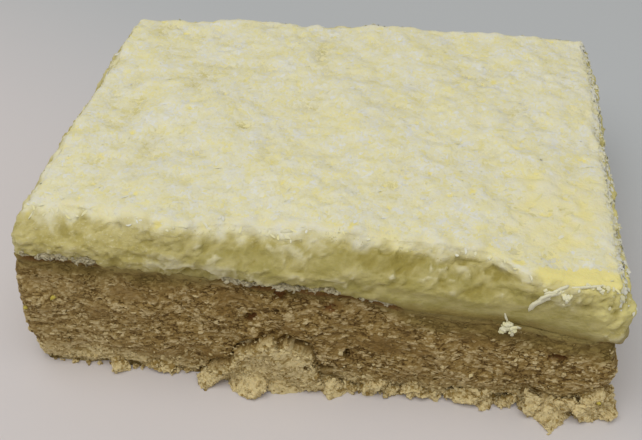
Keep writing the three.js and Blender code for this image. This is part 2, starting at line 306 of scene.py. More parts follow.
def warped(points, wave, amount, seed):
    """The points moved about by smooth noise, so that what is drawn on them loses its regular outlines."""
    shift = np.stack([noise(points, wave, seed + axis) for axis in range(3)], axis=-1)
    return points + amount * shift


# The bar's form, as in the model


def ripple(x, y, z, wave, phase):
    """Three crossing sine waves about one wave long, each shifted by a slower sine, from about -1 to 1."""
    k = 2 * np.pi / wave
    a = np.sin(k * (0.8 * x + 0.6 * y) + 1.3 * np.sin(0.71 * k * z + phase))
    b = np.sin(k * (0.6 * y - 0.8 * z) + 1.7 * np.sin(0.53 * k * x - phase))
    c = np.sin(k * (0.7 * z + 0.7 * x) + 1.1 * np.sin(0.61 * k * y + 2 * phase))
    return (a + b + c) / 2.2


def level(heights, x):
    """A height along the bar: middle + slope * x + curve * x squared."""
    middle, slope, curve = heights
    return middle + slope * x + curve * x * x


def icing_top(x, y):
    """The height of the icing's top, with its slow waves."""
    return level(ICING_TOP, x) + TOP_WAVE * ripple(x, y, 0, 21, 0.4)


def layer_line(x, y):
    """The height at which the icing meets the base."""
    return level(LAYER_LINE, x) + LINE_WAVE * ripple(x, y, 0, 17, 2.1)


def below_top(points):
    """How far each point lies below the icing's top."""
    return icing_top(points[:, 0], points[:, 1]) - points[:, 2]


def below_line(points):
    """How far each point lies below the line between the layers."""
    return layer_line(points[:, 0], points[:, 1]) - points[:, 2]


def along(table, share):
    """The value of a table of (share, value) rows at each share, eased from row to row."""
    shares, values = np.array(table).T
    after = np.clip(np.searchsorted(shares, share), 1, len(shares) - 1)
    t = ease(share, shares[after - 1], shares[after])
    return values[after - 1] + (values[after] - values[after - 1]) * t


def corner_arc(corner, before, after, t):
    """A quadratic arc from before to after, pulled towards the corner: the rounding of one corner of
    the plan."""
    t = t[:, None]
    return (1 - t) ** 2 * before + 2 * t * (1 - t) * corner + t**2 * after


def plan(counts, corner=CORNER):
    """The outline of the cut and the way out of it at each point. Each side runs from the middle of one
    corner's arc to the middle of the next, and its points are spaced evenly by length."""
    half = np.linspace(0, 0.5, 12)
    way = np.roll(CORNERS, -1, axis=0) - CORNERS
    way /= np.linalg.norm(way, axis=1)[:, None]
    sides = []
    for side, count in enumerate(counts):
        following = (side + 1) % 4
        here, there = CORNERS[side], CORNERS[following]
        first = corner_arc(here, here - corner * way[side - 1], here + corner * way[side], half + 0.5)
        last = corner_arc(there, there - corner * way[side], there + corner * way[following], half)
        line = np.vstack([first, last])
        length = np.concatenate([[0], np.cumsum(np.linalg.norm(np.diff(line, axis=0), axis=1))])
        steps = np.linspace(0, length[-1], count + 1)[:-1]
        sides.append(np.stack([np.interp(steps, length, line[:, axis]) for axis in range(2)], axis=-1))
    points = np.vstack(sides)
    ahead = np.roll(points, -1, axis=0) - np.roll(points, 1, axis=0)
    ahead /= np.linalg.norm(ahead, axis=1)[:, None]
    return points, np.stack([ahead[:, 1], -ahead[:, 0]], axis=-1)


def base_rows(outline, out, rows):
    """The base's cut sides: its profile by share of the height, with slow crags, and a ragged hem at
    the foot."""
    share = np.linspace(0, 1, rows + 1)[:, None]
    x, y = outline.T
    height = share * layer_line(x, y)[None]
    foot = ease(height, 0, 3)
    hem = (1 - foot) * RAGGED_HEM * np.maximum(0, ripple(x, y, 0, 9, 1.7))[None]
    crag = CRAG * ripple(x[None], y[None], height, 7.5, 0.9)
    inset = along(BASE_SIDE, share) + hem - crag * (0.3 + 0.7 * foot)
    return np.concatenate([outline - out * inset[..., None], height[..., None]], axis=-1)


def hidden_ring(outline, share):
    """The outline shrunk to a share of its size, at the height of the line between the layers."""
    flat = outline * share
    return np.concatenate([flat, layer_line(*flat.T)[:, None]], axis=-1)


def icing_rows(counts, rows):
    """The icing's cut sides: its profile, with long drag marks, smeared outwards at the right-hand end
    and set back at the left-hand end. The rows are closer together towards the rim, rounder at the
    corners and inset less there. The lowest one dips behind the base, which closes the seam. Along the
    front, the sides lean back in the shoulder, and at last they are stretched so that the rim lies on
    the icing's top."""
    share = 1 - np.linspace(1, 0, rows + 1)[:, None] ** 1.4
    (foot, foot_out), (top, top_out) = plan(counts), plan(counts, RIM_CORNER)
    rounder = (share**2)[..., None]
    outline = foot + rounder * (top - foot)
    out = unit(foot_out + rounder * (top_out - foot_out))
    x, y = outline[..., 0], outline[..., 1]
    low = layer_line(x, y)
    height = low + share * (icing_top(x, y) - low) - SKIRT * ease(0.1 - share, 0, 0.1)
    drag = DRAG * ripple(0.35 * x, 0.35 * y, 1.6 * height, 6, 0.3)
    bulge = np.sin(np.pi * np.clip(1.25 * share + 0.12, 0, 1))
    smear = SMEAR * ease(x, RIGHT - 10, RIGHT) * bulge
    at_corner = np.abs(2 * out[..., 0] * out[..., 1])
    inset = along(ICING_SIDE, share) * (1 - 0.4 * at_corner) - drag - smear
    rows = np.concatenate([outline - out * inset[..., None], height[..., None]], axis=-1)
    rows[..., 0] += (TUCK + LEFT_TRIM * ease(-y, 5, 32)) * ease(-rows[..., 0], 32, 48)
    lean = ease(share, SHOULDER_FOOT, 1) * ease(-rows[..., 1], 18, 36)
    rows[..., 1] += along(SHOULDER, rows[..., 0]) * lean
    rim = rows[-1]
    rows[..., 2] += share**3 * (icing_top(rim[:, 0], rim[:, 1]) - rim[:, 2])
    return rows


# Meshes from whole arrays


def ring_faces(rings, around):
    """Triangles between rings of points that follow one another from the lowest to the highest."""
    i = np.arange(around)
    j = np.roll(i, -1)
    low = (np.arange(rings - 1) * around)[:, None]
    high = low + around
    lower = np.stack([low + i, low + j, high + j], axis=-1)
    upper = np.stack([low + i, high + j, high + i], axis=-1)
    return np.concatenate([lower.reshape(-1, 3), upper.reshape(-1, 3)])


def fan_faces(ring, middle):
    """Triangles from a ring of points to one middle point."""
    return np.stack([ring, np.roll(ring, -1), np.full(len(ring), middle)], axis=-1)


def copied(faces, copies, size):
    """The triangles of one small shape, repeated for copies of that many points each."""
    return (faces[None] + (np.arange(copies) * size)[:, None, None]).reshape(-1, 3)


def normals_of(points, faces):
    """The way out at each point, which is the mean of its triangles' normals by their area, and its
    share of area."""
    a, b, c = (points[faces[:, k]] for k in range(3))
    flat = np.cross(b - a, c - a)
    area = np.linalg.norm(flat, axis=1) / 6
    total = np.zeros_like(points)
    share = np.zeros(len(points))
    for k in range(3):
        share += np.bincount(faces[:, k], area, len(points))
        for axis in range(3):
            total[:, axis] += np.bincount(faces[:, k], flat[:, axis], len(points))
    return total / (np.linalg.norm(total, axis=1)[:, None] + 1e-12), share


def piece(name, points, faces, material, slot, smooth=True, normals=None, **attributes):
    """A finished piece from points and triangles. Each attribute has a value for each point, for each
    of the equal shapes that make up the piece, or for all of it. It is shaded by its own normals, or by
    those given."""
    points = points.reshape(-1, 3)
    mesh = bpy.data.meshes.new(name)
    mesh.vertices.add(len(points))
    mesh.vertices.foreach_set("co", (points * MM).astype(np.float32).ravel())
    mesh.loops.add(faces.size)
    mesh.loops.foreach_set("vertex_index", faces.astype(np.int32).ravel())
    mesh.polygons.add(len(faces))
    mesh.polygons.foreach_set("loop_start", np.arange(0, faces.size, 3, dtype=np.int32))
    mesh.polygons.foreach_set("use_smooth", np.full(len(faces), smooth))
    for key, values in attributes.items():
        every = np.repeat(values, len(points) // np.size(values)).astype(np.float32)
        mesh.attributes.new(key, "FLOAT", "POINT").data.foreach_set("value", every)
    mesh.update(calc_edges=True)
    if normals is not None:
        mesh.normals_split_custom_set_from_vertices(normals)
    mesh.materials.append(material)
    made = bpy.data.objects.new(name, mesh)
    bpy.context.scene.collection.objects.link(made)
    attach(made, "root")
    return made


# The crumb base


def on_front(normals):
    """True where a surface faces the front."""
    return normals[:, 1] < -0.5


def chunk_mask(points, normals):
    """1 on the chunk at the foot of the front cut and 0 off it: what lies under the ragged top of its
    outline. The second mask is 1 in the shaded hollow that runs along that edge."""
    x, z = points[:, 0], points[:, 2]
    over = np.interp(x + 0.25 * noise(points, 0.9, 51), *CHUNK_EDGE.T) - z + 0.3 * noise(points, 1.1, 52)
    chunk = ease(over, 0, 0.25) * (x > CHUNK_EDGE[0, 0]) * (x < CHUNK_EDGE[-1, 0]) * on_front(normals)
    return chunk, ease(over, -1.6, -0.4) * (1 - chunk) * (z > 2.5) * on_front(normals)


def ledge_window(x):
    """1 along the stretches where the ledge of dragged crumb shows, fading to 0 at their ends."""
    return np.max([ease(np.minimum(x - start, end - x), 0, LEDGE_FADE) for start, end, _ in LEDGES], axis=0)


def butter_and_shade_mask(points):
    """1 in the smooth, buttery band below the icing, which is deepest towards both ends and partly painted
    shade.
    """
    x = points[:, 0]
    depth = 1.5 + 3.2 * ease(x, 2, 24) + 1.6 * ease(-x, 14, 26) + 0.9 * noise(points, 9, 55)
    return ease(1.4 - below_line(points) / depth + 0.2 * noise(points, 1.6, 54), 0, 0.8)


def freshly_cut(points):
    """How much paler the crumb is along the foot, most of all towards both ends, and over the left-hand
    end."""
    x, z = points[:, 0], points[:, 2]
    ends = ease(np.abs(x), 14, 34)
    edge = 5.5 + ends + 1.2 * noise(points, 3, 56)
    return (0.7 + 0.25 * ends) * ease(edge - z, 0, 5) + 0.15 * ease(-22 - x, 0, 14)


def hollow_masks(points, normals):
    """How deep the named hollows are at each point, and how much of that is stained."""
    x, z = points[:, 0], points[:, 2]
    rough = 0.45 * noise(points, 0.8, 53)
    deep = np.zeros(len(points))
    stain = np.zeros(len(points))
    for index, (cx, cz, a, c, depth) in enumerate(HOLLOWS):
        inside = ease(1.1 - np.hypot((x - cx) / a, (z - cz) / c) - rough, 0, 0.45) * on_front(normals)
        deep = np.maximum(deep, depth * inside)
        stain = np.maximum(stain, inside * (index < STAINED))
    return deep, stain


def crumb_relief(points):
    """How far each point of the cut stands out of its profile, and how light its crumb is, with painted
    light on the higher slabs and painted shade in the pits. Thin slabs of pressed crumb that lie flat, and
    grains between them, stand at heights of their own; pits are the middles of some other cells."""
    crooked = warped(points, 1.6, 0.35, 11) * (1, 1, 1.15)
    slab, slab_tone = slabs(crooked * (0.5, 0.5, 1), 0.7, 21)
    grain, grain_tone = slabs(crooked * (0.65, 0.65, 1), 0.42, 31)
    pit, _, pit_value = lumps(crooked * (0.45, 0.45, 1), 1.05, 41)
    pits = (0.35 + 2.6 * pit_value) * ease((0.16 + 0.9 * pit_value - pit) / 0.14) * (pit_value < 0.2)
    broken = ease(noise(points, 3.5, 17), -0.3, 0.4)
    relief = 0.28 * noise(points, 8, 15) + 0.16 * noise(points, 3, 16) - pits
    relief += (0.12 + 0.18 * broken) * slab + 0.13 * grain
    # Painted light and shade: lighter on the higher slabs and darker in the pits.
    tone = 0.52 + 0.3 * (slab_tone - 0.5) + 0.4 * (grain_tone - 0.5) + 0.2 * slab - 0.6 * pits
    return relief, tone


def base_surface():
    """The dressed base: its cut sides with crumb relief, the chunk and the hollows, a flat underside
    and a hidden top. Gives its points, the way out before the relief, its triangles and its values."""
    outline, out = plan(BASE_COLUMNS)
    around = len(outline)
    sides = base_rows(outline, out, BASE_ROWS)
    under, over = (0, 0, 0), (0, 0, layer_line(0, 0))
    points = np.vstack([sides.reshape(-1, 3), hidden_ring(outline, TOP_RING), under, over])
    rings = BASE_ROWS + 2
    first, last = np.arange(around), (rings - 1) * around + np.arange(around)
    bottom, top = fan_faces(first[::-1], rings * around), fan_faces(last, rings * around + 1)
    faces = np.vstack([ring_faces(rings, around), bottom, top])
    normals, _ = normals_of(points, faces)

    x, height = points[:, 0], points[:, 2]
    below = below_line(points)
    upright = ease(1 - np.abs(normals[:, 2]), 0.1, 0.5)
    relief, tone = crumb_relief(points)
    # Painted shade: the band under the icing is browner and darker, partly soaked butter and partly shade.
    butter_and_shade = butter_and_shade_mask(points)
    chunk, groove = chunk_mask(points, normals)
    deep, stain = hollow_masks(points, normals)
    ragged = ease(noise(points * (1, 1, 0.4), 2.4, 63) + 0.4 * ease(x, -26, -16), -0.1, 0.6)
    undercut = 1.4 * ragged * ease(1.7 - height, 0, 1.4)
    relief = relief * (1 - 0.6 * butter_and_shade) - undercut * (1 - chunk) - deep - 0.7 * groove
    closed = np.where(on_front(normals), 1 - ledge_window(x), 0.4)
    relief += CHUNK_PROUD * chunk + BASE_LAP * ease(2.5 - below, 0, 2.5) * closed
    moved = points + normals * (relief * upright)[:, None]
    moved[:, 2] = np.clip(moved[:, 2], 0, None)
    # Painted shadow: a dark band just under each ledge, laid on with the stains of the hollows.
    shadow = 0.7 * ledge_window(x) * ease(below - 0.1, 0, 0.3) * ease(1.5 - below, 0, 0.6)
    values = {
        # Painted shade: the tone is darker in the hollows, under the undercut foot and in the groove along
        # the chunk.
        "tone": np.clip(tone - 0.5 * ease(deep, 0, 1) - 0.4 * ease(undercut) - 0.3 * groove, 0, 1),
        "pale": np.clip(chunk + freshly_cut(points), 0, 1),
        "butter_and_shade": butter_and_shade,
        "stain": np.maximum(stain, shadow * on_front(normals)),
        "seam": closed * ease(1.6 - below + 0.5 * noise(points, 2.2, 57), 0, 1.2),
    }
    return moved, normals, faces, values


# The icing


def top_grid(rim, columns):
    """The points inside the rim and the grid of their numbers: a sheet stretched between the four
    corners of the rim, and near each side moved by what that side differs from the sheet's own straight
    side."""
    across, deep = columns
    ring = np.arange(2 * (across + deep))
    number = np.zeros((deep + 1, across + 1), int)
    number[0, :] = ring[: across + 1]
    number[:, across] = ring[across : across + deep + 1]
    number[deep, ::-1] = ring[across + deep : 2 * across + deep + 1]
    number[::-1, 0] = np.append(ring[2 * across + deep :], 0)
    front, back = rim[number[0]][None], rim[number[deep]][None]
    left, right = rim[number[:, 0]][:, None], rim[number[:, across]][:, None]
    u = np.linspace(0, 1, across + 1)[None, :, None]
    v = np.linspace(0, 1, deep + 1)[:, None, None]
    front_line = (1 - u) * front[:, :1] + u * front[:, -1:]
    back_line = (1 - u) * back[:, :1] + u * back[:, -1:]
    flat = (1 - v) * front_line + v * back_line
    near = 0.15
    sheet = flat + ease(1 - v / near) * (front - flat[:1]) + ease(1 - (1 - v) / near) * (back - flat[-1:])
    sheet += ease(1 - u / near) * (left - flat[:, :1]) + ease(1 - (1 - u) / near) * (right - flat[:, -1:])
    inside = sheet[1:-1, 1:-1].reshape(-1, 3)
    inside[:, 2] = icing_top(inside[:, 0], inside[:, 1])
    return inside, number


def across_oval(points, oval):
    """How far each point is from the middle of an oval, seen from above: 0 there and 1 on its edge."""
    x, y, half_width, half_depth = oval
    return np.hypot((points[:, 0] - x) / half_width, (points[:, 1] - y) / half_depth)


def bare_patch(points):
    """1 where the icing near the front right-hand corner was left nearly bare of coconut, fading to 0."""
    rough = 0.3 * noise(points, 4, 71) + 0.15 * noise(points, 1.5, 72)
    return ease(1.25 - across_oval(points, BARE_PATCH) + rough, 0, 0.6)


def bare_rim(points):
    """1 along the bare yellow rim before that patch, and in a spot beside it, fading to 0."""
    rough = 0.3 * noise(points, 2.5, 73)
    rim = 1.2 - across_oval(points, BARE_RIM) + rough
    spot = 1.1 - across_oval(points, BARE_SPOT) + rough
    return ease(np.maximum(rim, spot), 0, 0.4) * (points[:, 2] > 20)


def dimples(points):
    """1 in the middle of small pits that are scattered over the top, where no coconut lies."""
    pit, _, value = lumps(warped(points * (1, 1, 0), 1.2, 0.6, 77), 2.8, 74)
    return ease((0.16 + 0.32 * value - pit) / 0.2) * (value < 0.6)


def top_relief(points):
    """How far the icing's softly lumpy top stands out: three waves of noise, less the dimples."""
    waves = 0.32 * noise(points, 6.5, 81) + 0.34 * noise(points, 2.8, 82) + 0.2 * noise(points, 1.4, 83)
    return waves - 0.2 * dimples(points)


def icing_relief(points):
    """How far the icing stands out: a softly lumpy top, and cut sides that are lumpy and dented just
    under the rim, but smooth where the icing was smeared down over the base. Gives the depth of hollows
    as well, below 0 where the side stands out, which the colour follows as painted shade in the hollows
    and a painted highlight on the lumps."""
    x, below = points[:, 0], below_top(points)
    crooked = warped(warped(points, 2.4, 0.9, 84), 0.9, 0.4, 98)
    flat = crooked * (0.5, 0.5, 1)
    on_top = ease(1.2 - below, 0, 1.1)
    dent, _, dent_value = lumps(flat, 1.5, 87)
    band = ease(below, 0.5, 1.4) * (0.25 + 0.75 * ease(5.2 - below, 0, 2))
    dents = band * (0.2 + 0.8 * dent_value) * ease((0.38 + 0.4 * dent_value - dent) / 0.5)
    dents *= dent_value < 0.55
    smear = ease(x, 4, 18) * ease(below, 3.2, 5.5) * ease(46 - x, 0, 4)
    lumpy = 0.3 * noise(flat, 2.4, 90) + 0.36 * noise(flat, 1.1, 91)
    lumpy += 0.3 * noise(crooked * (0.7, 0.7, 1), 0.6, 92)
    clumped = ease(x, 8, 15) * ease(30 - x, 0, 5) * ease(6.5 - below, 0, 3)
    lumpy = lumpy * (1 + 0.3 * ease(x, 44, 47) + 0.7 * clumped) + 0.12 * noise(crooked, 0.35, 97)
    side = (lumpy - dents) * (1 - 0.75 * smear)
    # Painted shade and highlight: the colour darkens in dents and low lumps and lightens on high ones.
    hollow = (1 - on_top) * (0.6 * dents - 1.3 * lumpy) * (1 - 0.6 * smear)
    return on_top * top_relief(points) + (1 - on_top) * side, hollow


def icing_values(points, normals, hollow):
    """What the icing's colour follows, each from 0 to 1: painted shade in hollows (hollow_shade) and a
    painted highlight on what stands out (lump_highlight), painted light on the right-hand end (lit_end),
    the lower edge, stained and darkened by painted shade, the smooth smear, the dust of coconut over the
    top and where that is bare."""
    x, below, above = points[:, 0], below_top(points), -below_line(points)
    # Painted light: the icing's cut side is lighter along the right-hand end.
    lit_end_mask = ease(x + noise(points, 2.5, 99), 40, 46) * ease(8 - below, 0, 4)
    # Painted shade with stain: the icing's lowest band, along the base, is darkened towards the right and
    # in a stretch at the left.
    stained_and_shaded = np.maximum(ease(x, 2, 18), 0.4 * ease(x, -34, -30) * ease(-12 - x, 0, 4))
    smeared = ease(x + 4 * noise(points, 7, 94), -30, -10) * ease(below, 1.0, 2.6)
    smeared *= ease(47 - x + noise(points, 1.5, 96), 0, 5) * ease(-points[:, 1], 5, 30)
    low = 0.45 * ease(-noise(points, 2.8, 82) - 0.6 * noise(points, 1.4, 83), 0.1, 0.9)
    bare = np.max([0.25 * bare_patch(points), bare_rim(points), dimples(points)], axis=0) + low
    return {
        "hollow_shade": np.clip(hollow, 0, 1),
        "lump_highlight": np.clip(-hollow, 0, 1),
        "lit_end": np.clip(lit_end_mask * (0.75 - hollow), 0, 1),
        "stained_shaded_edge": ease(2.2 - above + 0.6 * noise(points, 2, 93), 0, 2.2) * stained_and_shaded,
        "smeared": smeared,
        "dusted": ease(1.8 - below + 0.7 * noise(points, 1.6, 95), 0, 1.6) * ease(normals[:, 2], 0.1, 0.6),
        "bare": np.clip(bare, 0, 1),
    }


def icing_surface():
    """The dressed icing: cut sides, a lumpy top between them, and an underside that follows the base.
    Gives its points, its triangles and its values."""
    across, deep = ICING_COLUMNS
    counts = (across, deep, across, deep)
    outline, _ = plan(counts)
    around = len(outline)
    sides = icing_rows(counts, ICING_ROWS)
    inside, number = top_grid(sides[-1], ICING_COLUMNS)
    under = (0, 0, layer_line(0, 0))
    points = np.vstack([hidden_ring(outline, UNDER_RING), sides.reshape(-1, 3), inside, under])
    rings = ICING_ROWS + 2
    number = number + (rings - 1) * around
    number[1:-1, 1:-1] = rings * around + np.arange(len(inside)).reshape(deep - 1, across - 1)
    a, b, c, d = number[:-1, :-1], number[:-1, 1:], number[1:, 1:], number[1:, :-1]
    top = np.concatenate([np.stack([a, b, c], axis=-1), np.stack([a, c, d], axis=-1)]).reshape(-1, 3)
    bottom = fan_faces(np.arange(around)[::-1], len(points) - 1)
    faces = np.vstack([ring_faces(rings, around), top, bottom])
    normals, _ = normals_of(points, faces)
    relief, hollow = icing_relief(points)
    above = -below_line(points)
    outer = ease(above, -0.2, 0.3) * (np.arange(len(points)) >= around)
    lap = LAP * ease(1.1 - above, 0, 1.1) * (1 - ledge_window(points[:, 0])) * (normals[:, 2] < 0.8)
    moved = points + normals * ((relief + lap) * outer)[:, None]
    return moved, faces, icing_values(points, normals, hollow)


# Small shapes: many in one mesh for each kind


def ribbons(paths, across, width, thickness):
    """Ribbons along paths: a four-cornered section at each step, its width along across and its
    thickness square to that and to the path, tapered to both ends. Paths are an array of ribbon by step
    by axis."""
    ahead = np.gradient(paths, axis=1)
    ahead /= np.linalg.norm(ahead, axis=-1)[..., None]
    up = np.cross(ahead, across)
    up /= np.linalg.norm(up, axis=-1)[..., None]
    side = np.cross(up, ahead)
    taper = 1 - 0.55 * np.linspace(-1, 1, paths.shape[1]) ** 4
    half_width = 0.5 * (width[:, None] * taper)[..., None, None]
    half_thickness = 0.5 * (thickness[:, None] * taper)[..., None, None]
    corners = np.array(((-1, -1), (1, -1), (1, 1), (-1, 1)))
    sideways = corners[:, :1] * half_width * side[:, :, None]
    upwards = corners[:, 1:] * half_thickness * up[:, :, None]
    return (paths[:, :, None] + (sideways + upwards)).reshape(len(paths), -1, 3)


def ribbon_faces(count, steps):
    """Triangles of that many ribbons: four sides between sections, and both ends closed."""
    last = 4 * steps
    ends = np.array([(0, 2, 1), (0, 3, 2), (last, last + 1, last + 2), (last, last + 2, last + 3)])
    return copied(np.vstack([ring_faces(steps + 1, 4), ends]), count, 4 * (steps + 1))


def curved_paths(length, curve, arch, steps):
    """Paths about their own middles, curved sideways and arched up with the square of the way along
    them."""
    s = np.linspace(-1, 1, steps + 1)[None, :]
    bow = s**2 - 0.33
    return np.stack([0.5 * length[:, None] * s, curve[:, None] * bow, arch[:, None] * bow], axis=-1)


def chips(rng, length, width, thickness, corners, bend=0.0):
    """Flat chips about their own middles: an uneven ring of corners below and a smaller one above it,
    both bent up by the square of the way along."""
    count = len(length)
    turn = 2 * np.pi * (np.arange(corners) + rng.uniform(-0.3, 0.3, (count, corners))) / corners
    reach = rng.uniform(0.65, 1.1, (count, corners))
    along_chip = reach * np.cos(turn)
    across_chip = 0.5 * width[:, None] * reach * np.sin(turn)
    lift = bend * length[:, None] * along_chip**2
    rings = []
    for side, size in ((-0.5, 1.0), (0.5, 0.8)):
        uneven = side * thickness[:, None] * rng.uniform(0.6, 1.3, (count, corners))
        x, y, z = 0.5 * length[:, None] * along_chip * size, across_chip * size, uneven + lift
        rings.append(np.stack([x, y, z], axis=-1))
    return np.concatenate(rings, axis=1)


def chip_faces(count, corners):
    """Triangles of that many chips: sides, bottom and top."""
    k = np.arange(1, corners - 1)
    zero = np.zeros_like(k)
    top = np.stack([zero, k, k + 1], axis=-1) + corners
    bottom = np.stack([zero, k + 1, k], axis=-1)
    return copied(np.vstack([ring_faces(2, corners), bottom, top]), count, 2 * corners)


def drawn_chips(rng, length, wide, thick, corners):
    """Chips of given lengths. Their width is drawn as a share of the length between the limits wide,
    and their thickness between the limits thick."""
    count = len(length)
    return chips(rng, length, length * rng.uniform(*wide, count), rng.uniform(*thick, count), corners)


def drawn_shreds(rng, length, curve, arch, twist, wide, thick):
    """Thin ribbons of given lengths. How far they curve and arch is drawn as a share of the length, and
    then their twist, width and thickness, each between its two limits."""
    count = len(length)
    curved, arched = rng.uniform(*curve, count) * length, rng.uniform(*arch, count) * length
    paths = curved_paths(length, curved, arched, SHRED_STEPS)
    across = np.stack([np.zeros(count), np.ones(count), rng.uniform(*twist, count)], axis=-1)[:, None]
    return ribbons(paths, across, rng.uniform(*wide, count), rng.uniform(*thick, count))


def crumb_shapes(rng, half_sizes, rows, around):
    """Angular crumbs about their own middles: rings of points round the X axis and a pole at each side,
    where the neighbours hide it. The reach along each way out is to the nearest of the crumb's own
    random planes, and slabs roughen it."""
    plane_count, least_slant, farthest, spacing = 8, 0.15, 1.5, 17.0
    count = len(half_sizes)
    tilt = np.pi * (np.arange(rows) + 1) / (rows + 1)
    turn = 2 * np.pi * np.arange(around) / around
    wide = np.sin(tilt)[:, None]
    rings = np.broadcast_arrays(-np.cos(tilt)[:, None], wide * np.cos(turn), wide * np.sin(turn))
    ways = np.vstack([np.stack(rings, axis=-1).reshape(-1, 3), (-1, 0, 0), (1, 0, 0)])
    planes = unit(rng.normal(size=(count, plane_count, 3)))
    slant = np.einsum("mc,npc->nmp", ways, planes)
    distance = rng.uniform(0.5, 0.95, (count, 1, plane_count)) / np.maximum(slant, least_slant)
    reach = np.where(slant > least_slant, distance, farthest).min(axis=-1)
    sized = ways[None] * np.minimum(reach, farthest)[..., None] * half_sizes[:, None]
    apart = (sized + spacing * np.arange(count)[:, None, None]).reshape(-1, 3)
    crooked = warped(apart, 1.6, 0.4, 94)
    broad, _ = slabs(crooked, 1.5, 97)
    fine, tone = slabs(crooked, 0.6, 101)
    rough = (0.3 * broad + 0.2 * fine + 0.2 * noise(apart, 1.1, 105)).reshape(count, -1, 1)
    return sized + ways[None] * rough, tone, fine


def ball_faces(count, rows, around):
    """Triangles of that many crumbs."""
    first, last = np.arange(around), (rows - 1) * around + np.arange(around)
    ends = [fan_faces(first[::-1], rows * around), fan_faces(last, rows * around + 1)]
    return copied(np.vstack([ring_faces(rows, around), *ends]), count, rows * around + 2)


def unit(vectors):
    """The vectors at length 1."""
    return vectors / (np.linalg.norm(vectors, axis=-1)[..., None] + 1e-12)


def any_way(rng, up):
    """For each way up, a heading that is square to it and otherwise random."""
    return unit(np.cross(up, rng.normal(size=(len(up), 3))))


def drawn_places(rng, surface, weights, count):
    """Places drawn from a surface by weight and area, each moved a little along it, and the way out
    there."""
    points, normals, areas = surface
    share = weights * areas
    at = rng.choice(len(points), count, p=share / share.sum())
    shift = rng.normal(0, 0.12, (count, 3))
    out = normals[at]
    return points[at] + shift - (shift * out).sum(axis=-1)[:, None] * out, out


def draped(laid, places, out):
    """Shapes that were laid on the icing's tangent at their places, bent to follow its top. Each point
    rises by what the lumpy top rises from the shape's place to that point, less what the tangent does.
    Off the top, nothing changes."""
    flat = np.concatenate([places[:, None], laid], axis=1)
    x, y = flat[..., 0].ravel(), flat[..., 1].ravel()
    smooth_top = np.stack([x, y, icing_top(x, y)], axis=-1)
    top = (smooth_top[:, 2] + top_relief(smooth_top)).reshape(flat.shape[:2])
    apart = laid[..., :2] - places[:, None, :2]
    tangent = -(apart * out[:, None, :2]).sum(axis=-1) / np.maximum(out[:, 2], 0.5)[:, None]
    on_top = (ease(0.5 - np.abs(places[:, 2] - top[:, 0]), 0, 0.3) * ease(out[:, 2], 0.75, 0.9))[:, None]
    bent = laid.copy()
    bent[..., 2] += on_top * (top[:, 1:] - top[:, :1] - tangent)
    return bent


def set_down(shapes, places, up, heading, pitch=0.0, roll=0.0):
    """Shapes turned so that their length lies along the heading, pitched towards up and rolled about
    their length, then moved to their places."""
    side = unit(np.cross(up, heading))
    heading = np.cross(side, up)
    pitch, roll = (np.broadcast_to(turn, len(places)) for turn in (pitch, roll))
    cos, sin = np.cos(pitch)[:, None], np.sin(pitch)[:, None]
    length = cos * heading + sin * up
    top = cos * up - sin * heading
    cos, sin = np.cos(roll)[:, None], np.sin(roll)[:, None]
    axes = np.stack([length, cos * side + sin * top, cos * top - sin * side], axis=1)
    return np.einsum("nkc,nca->nka", shapes, axes) + places[:, None]


def shaded_softly(way, laid, faces, own):
    """The normals of thin pieces that light comes through: the given way, and a share (own) of what
    their own faces give."""
    return unit(way + own * unit(normals_of(laid.reshape(-1, 3), faces)[0]))


# Coconut on the icing


def inside_rim(points):
    """How far inside the rim of the icing's top each point is, seen from above."""
    x, y = points[:, 0], points[:, 1]
    edge = along(ICING_SIDE, 1.0)
    front = y - FRONT - edge - along(SHOULDER, x)
    back = np.interp(x, *zip(BACK_LEFT, BACK_RIGHT)) - edge - y
    return np.min([front, back, RIGHT - edge - x, x - LEFT - edge - TUCK], axis=0)


def at_end(points, normals):
    """1 on the side of the icing that faces the right-hand end."""
    return ease(normals[:, 0], 0.15, 0.5) * ease(points[:, 0], 44, 46)


def coconut_weights(points, normals):
    """How densely coconut lies: all over the top, thinner on the bare patch, spilling over the rounded
    edge by uneven depths, and here and there in the upper part of the sides."""
    x, below = points[:, 0], below_top(points)
    depth = 0.5 + 1.4 * ease(noise(points * (1, 1, 0), 4.2, 76), -0.2, 0.7)
    open_top = (1 - 0.93 * bare_patch(points)) * (1 - 0.9 * dimples(points)) * (1 - 0.95 * bare_rim(points))
    spill = ease((0.3 + depth - below) / depth)
    clumped = ease(x, 10, 16) * ease(28 - x, 0, 4) * ease(noise(points, 1.8, 78), 0, 0.4)
    side = (0.4 * clumped + 1.2 * at_end(points, normals)) * ease(4.5 - below, 0, 3)
    spilled = spill * open_top * (normals[:, 2] > 0.1)
    return np.maximum(spilled, side * (below > 0.4) * (normals[:, 2] > -0.3))


def coconut_values(rng, places, out):
    """How white each piece is, from stained yellow at 0 to white at 1, by patches and from piece to
    piece, and how much it is coated by the icing, down the sides. Along the right-hand end it is whiter
    and less coated, which is painted light."""
    below = below_top(places)
    end = at_end(places, out) * ease(below, 0.1, 0.6)
    patches = 0.5 + 0.3 * noise(places, 3.2, 111) + 0.3 * noise(places, 1.6, 112) - 0.3 * bare_patch(places)
    # Painted light: whiter along the right-hand end.
    patches += 0.35 * end - 0.3 * ease(below, 0.4, 2) * (1 - end)
    coated = ease(below, -0.1, 1.3) + 0.2 * noise(places, 1.5, 113) * ease(below, 0.2, 0.8)
    return {
        "tint": np.clip(patches + rng.normal(0, 0.21, len(places)), 0, 1),
        "coated": np.clip(coated * (1 - 0.8 * end), 0, 1),
    }


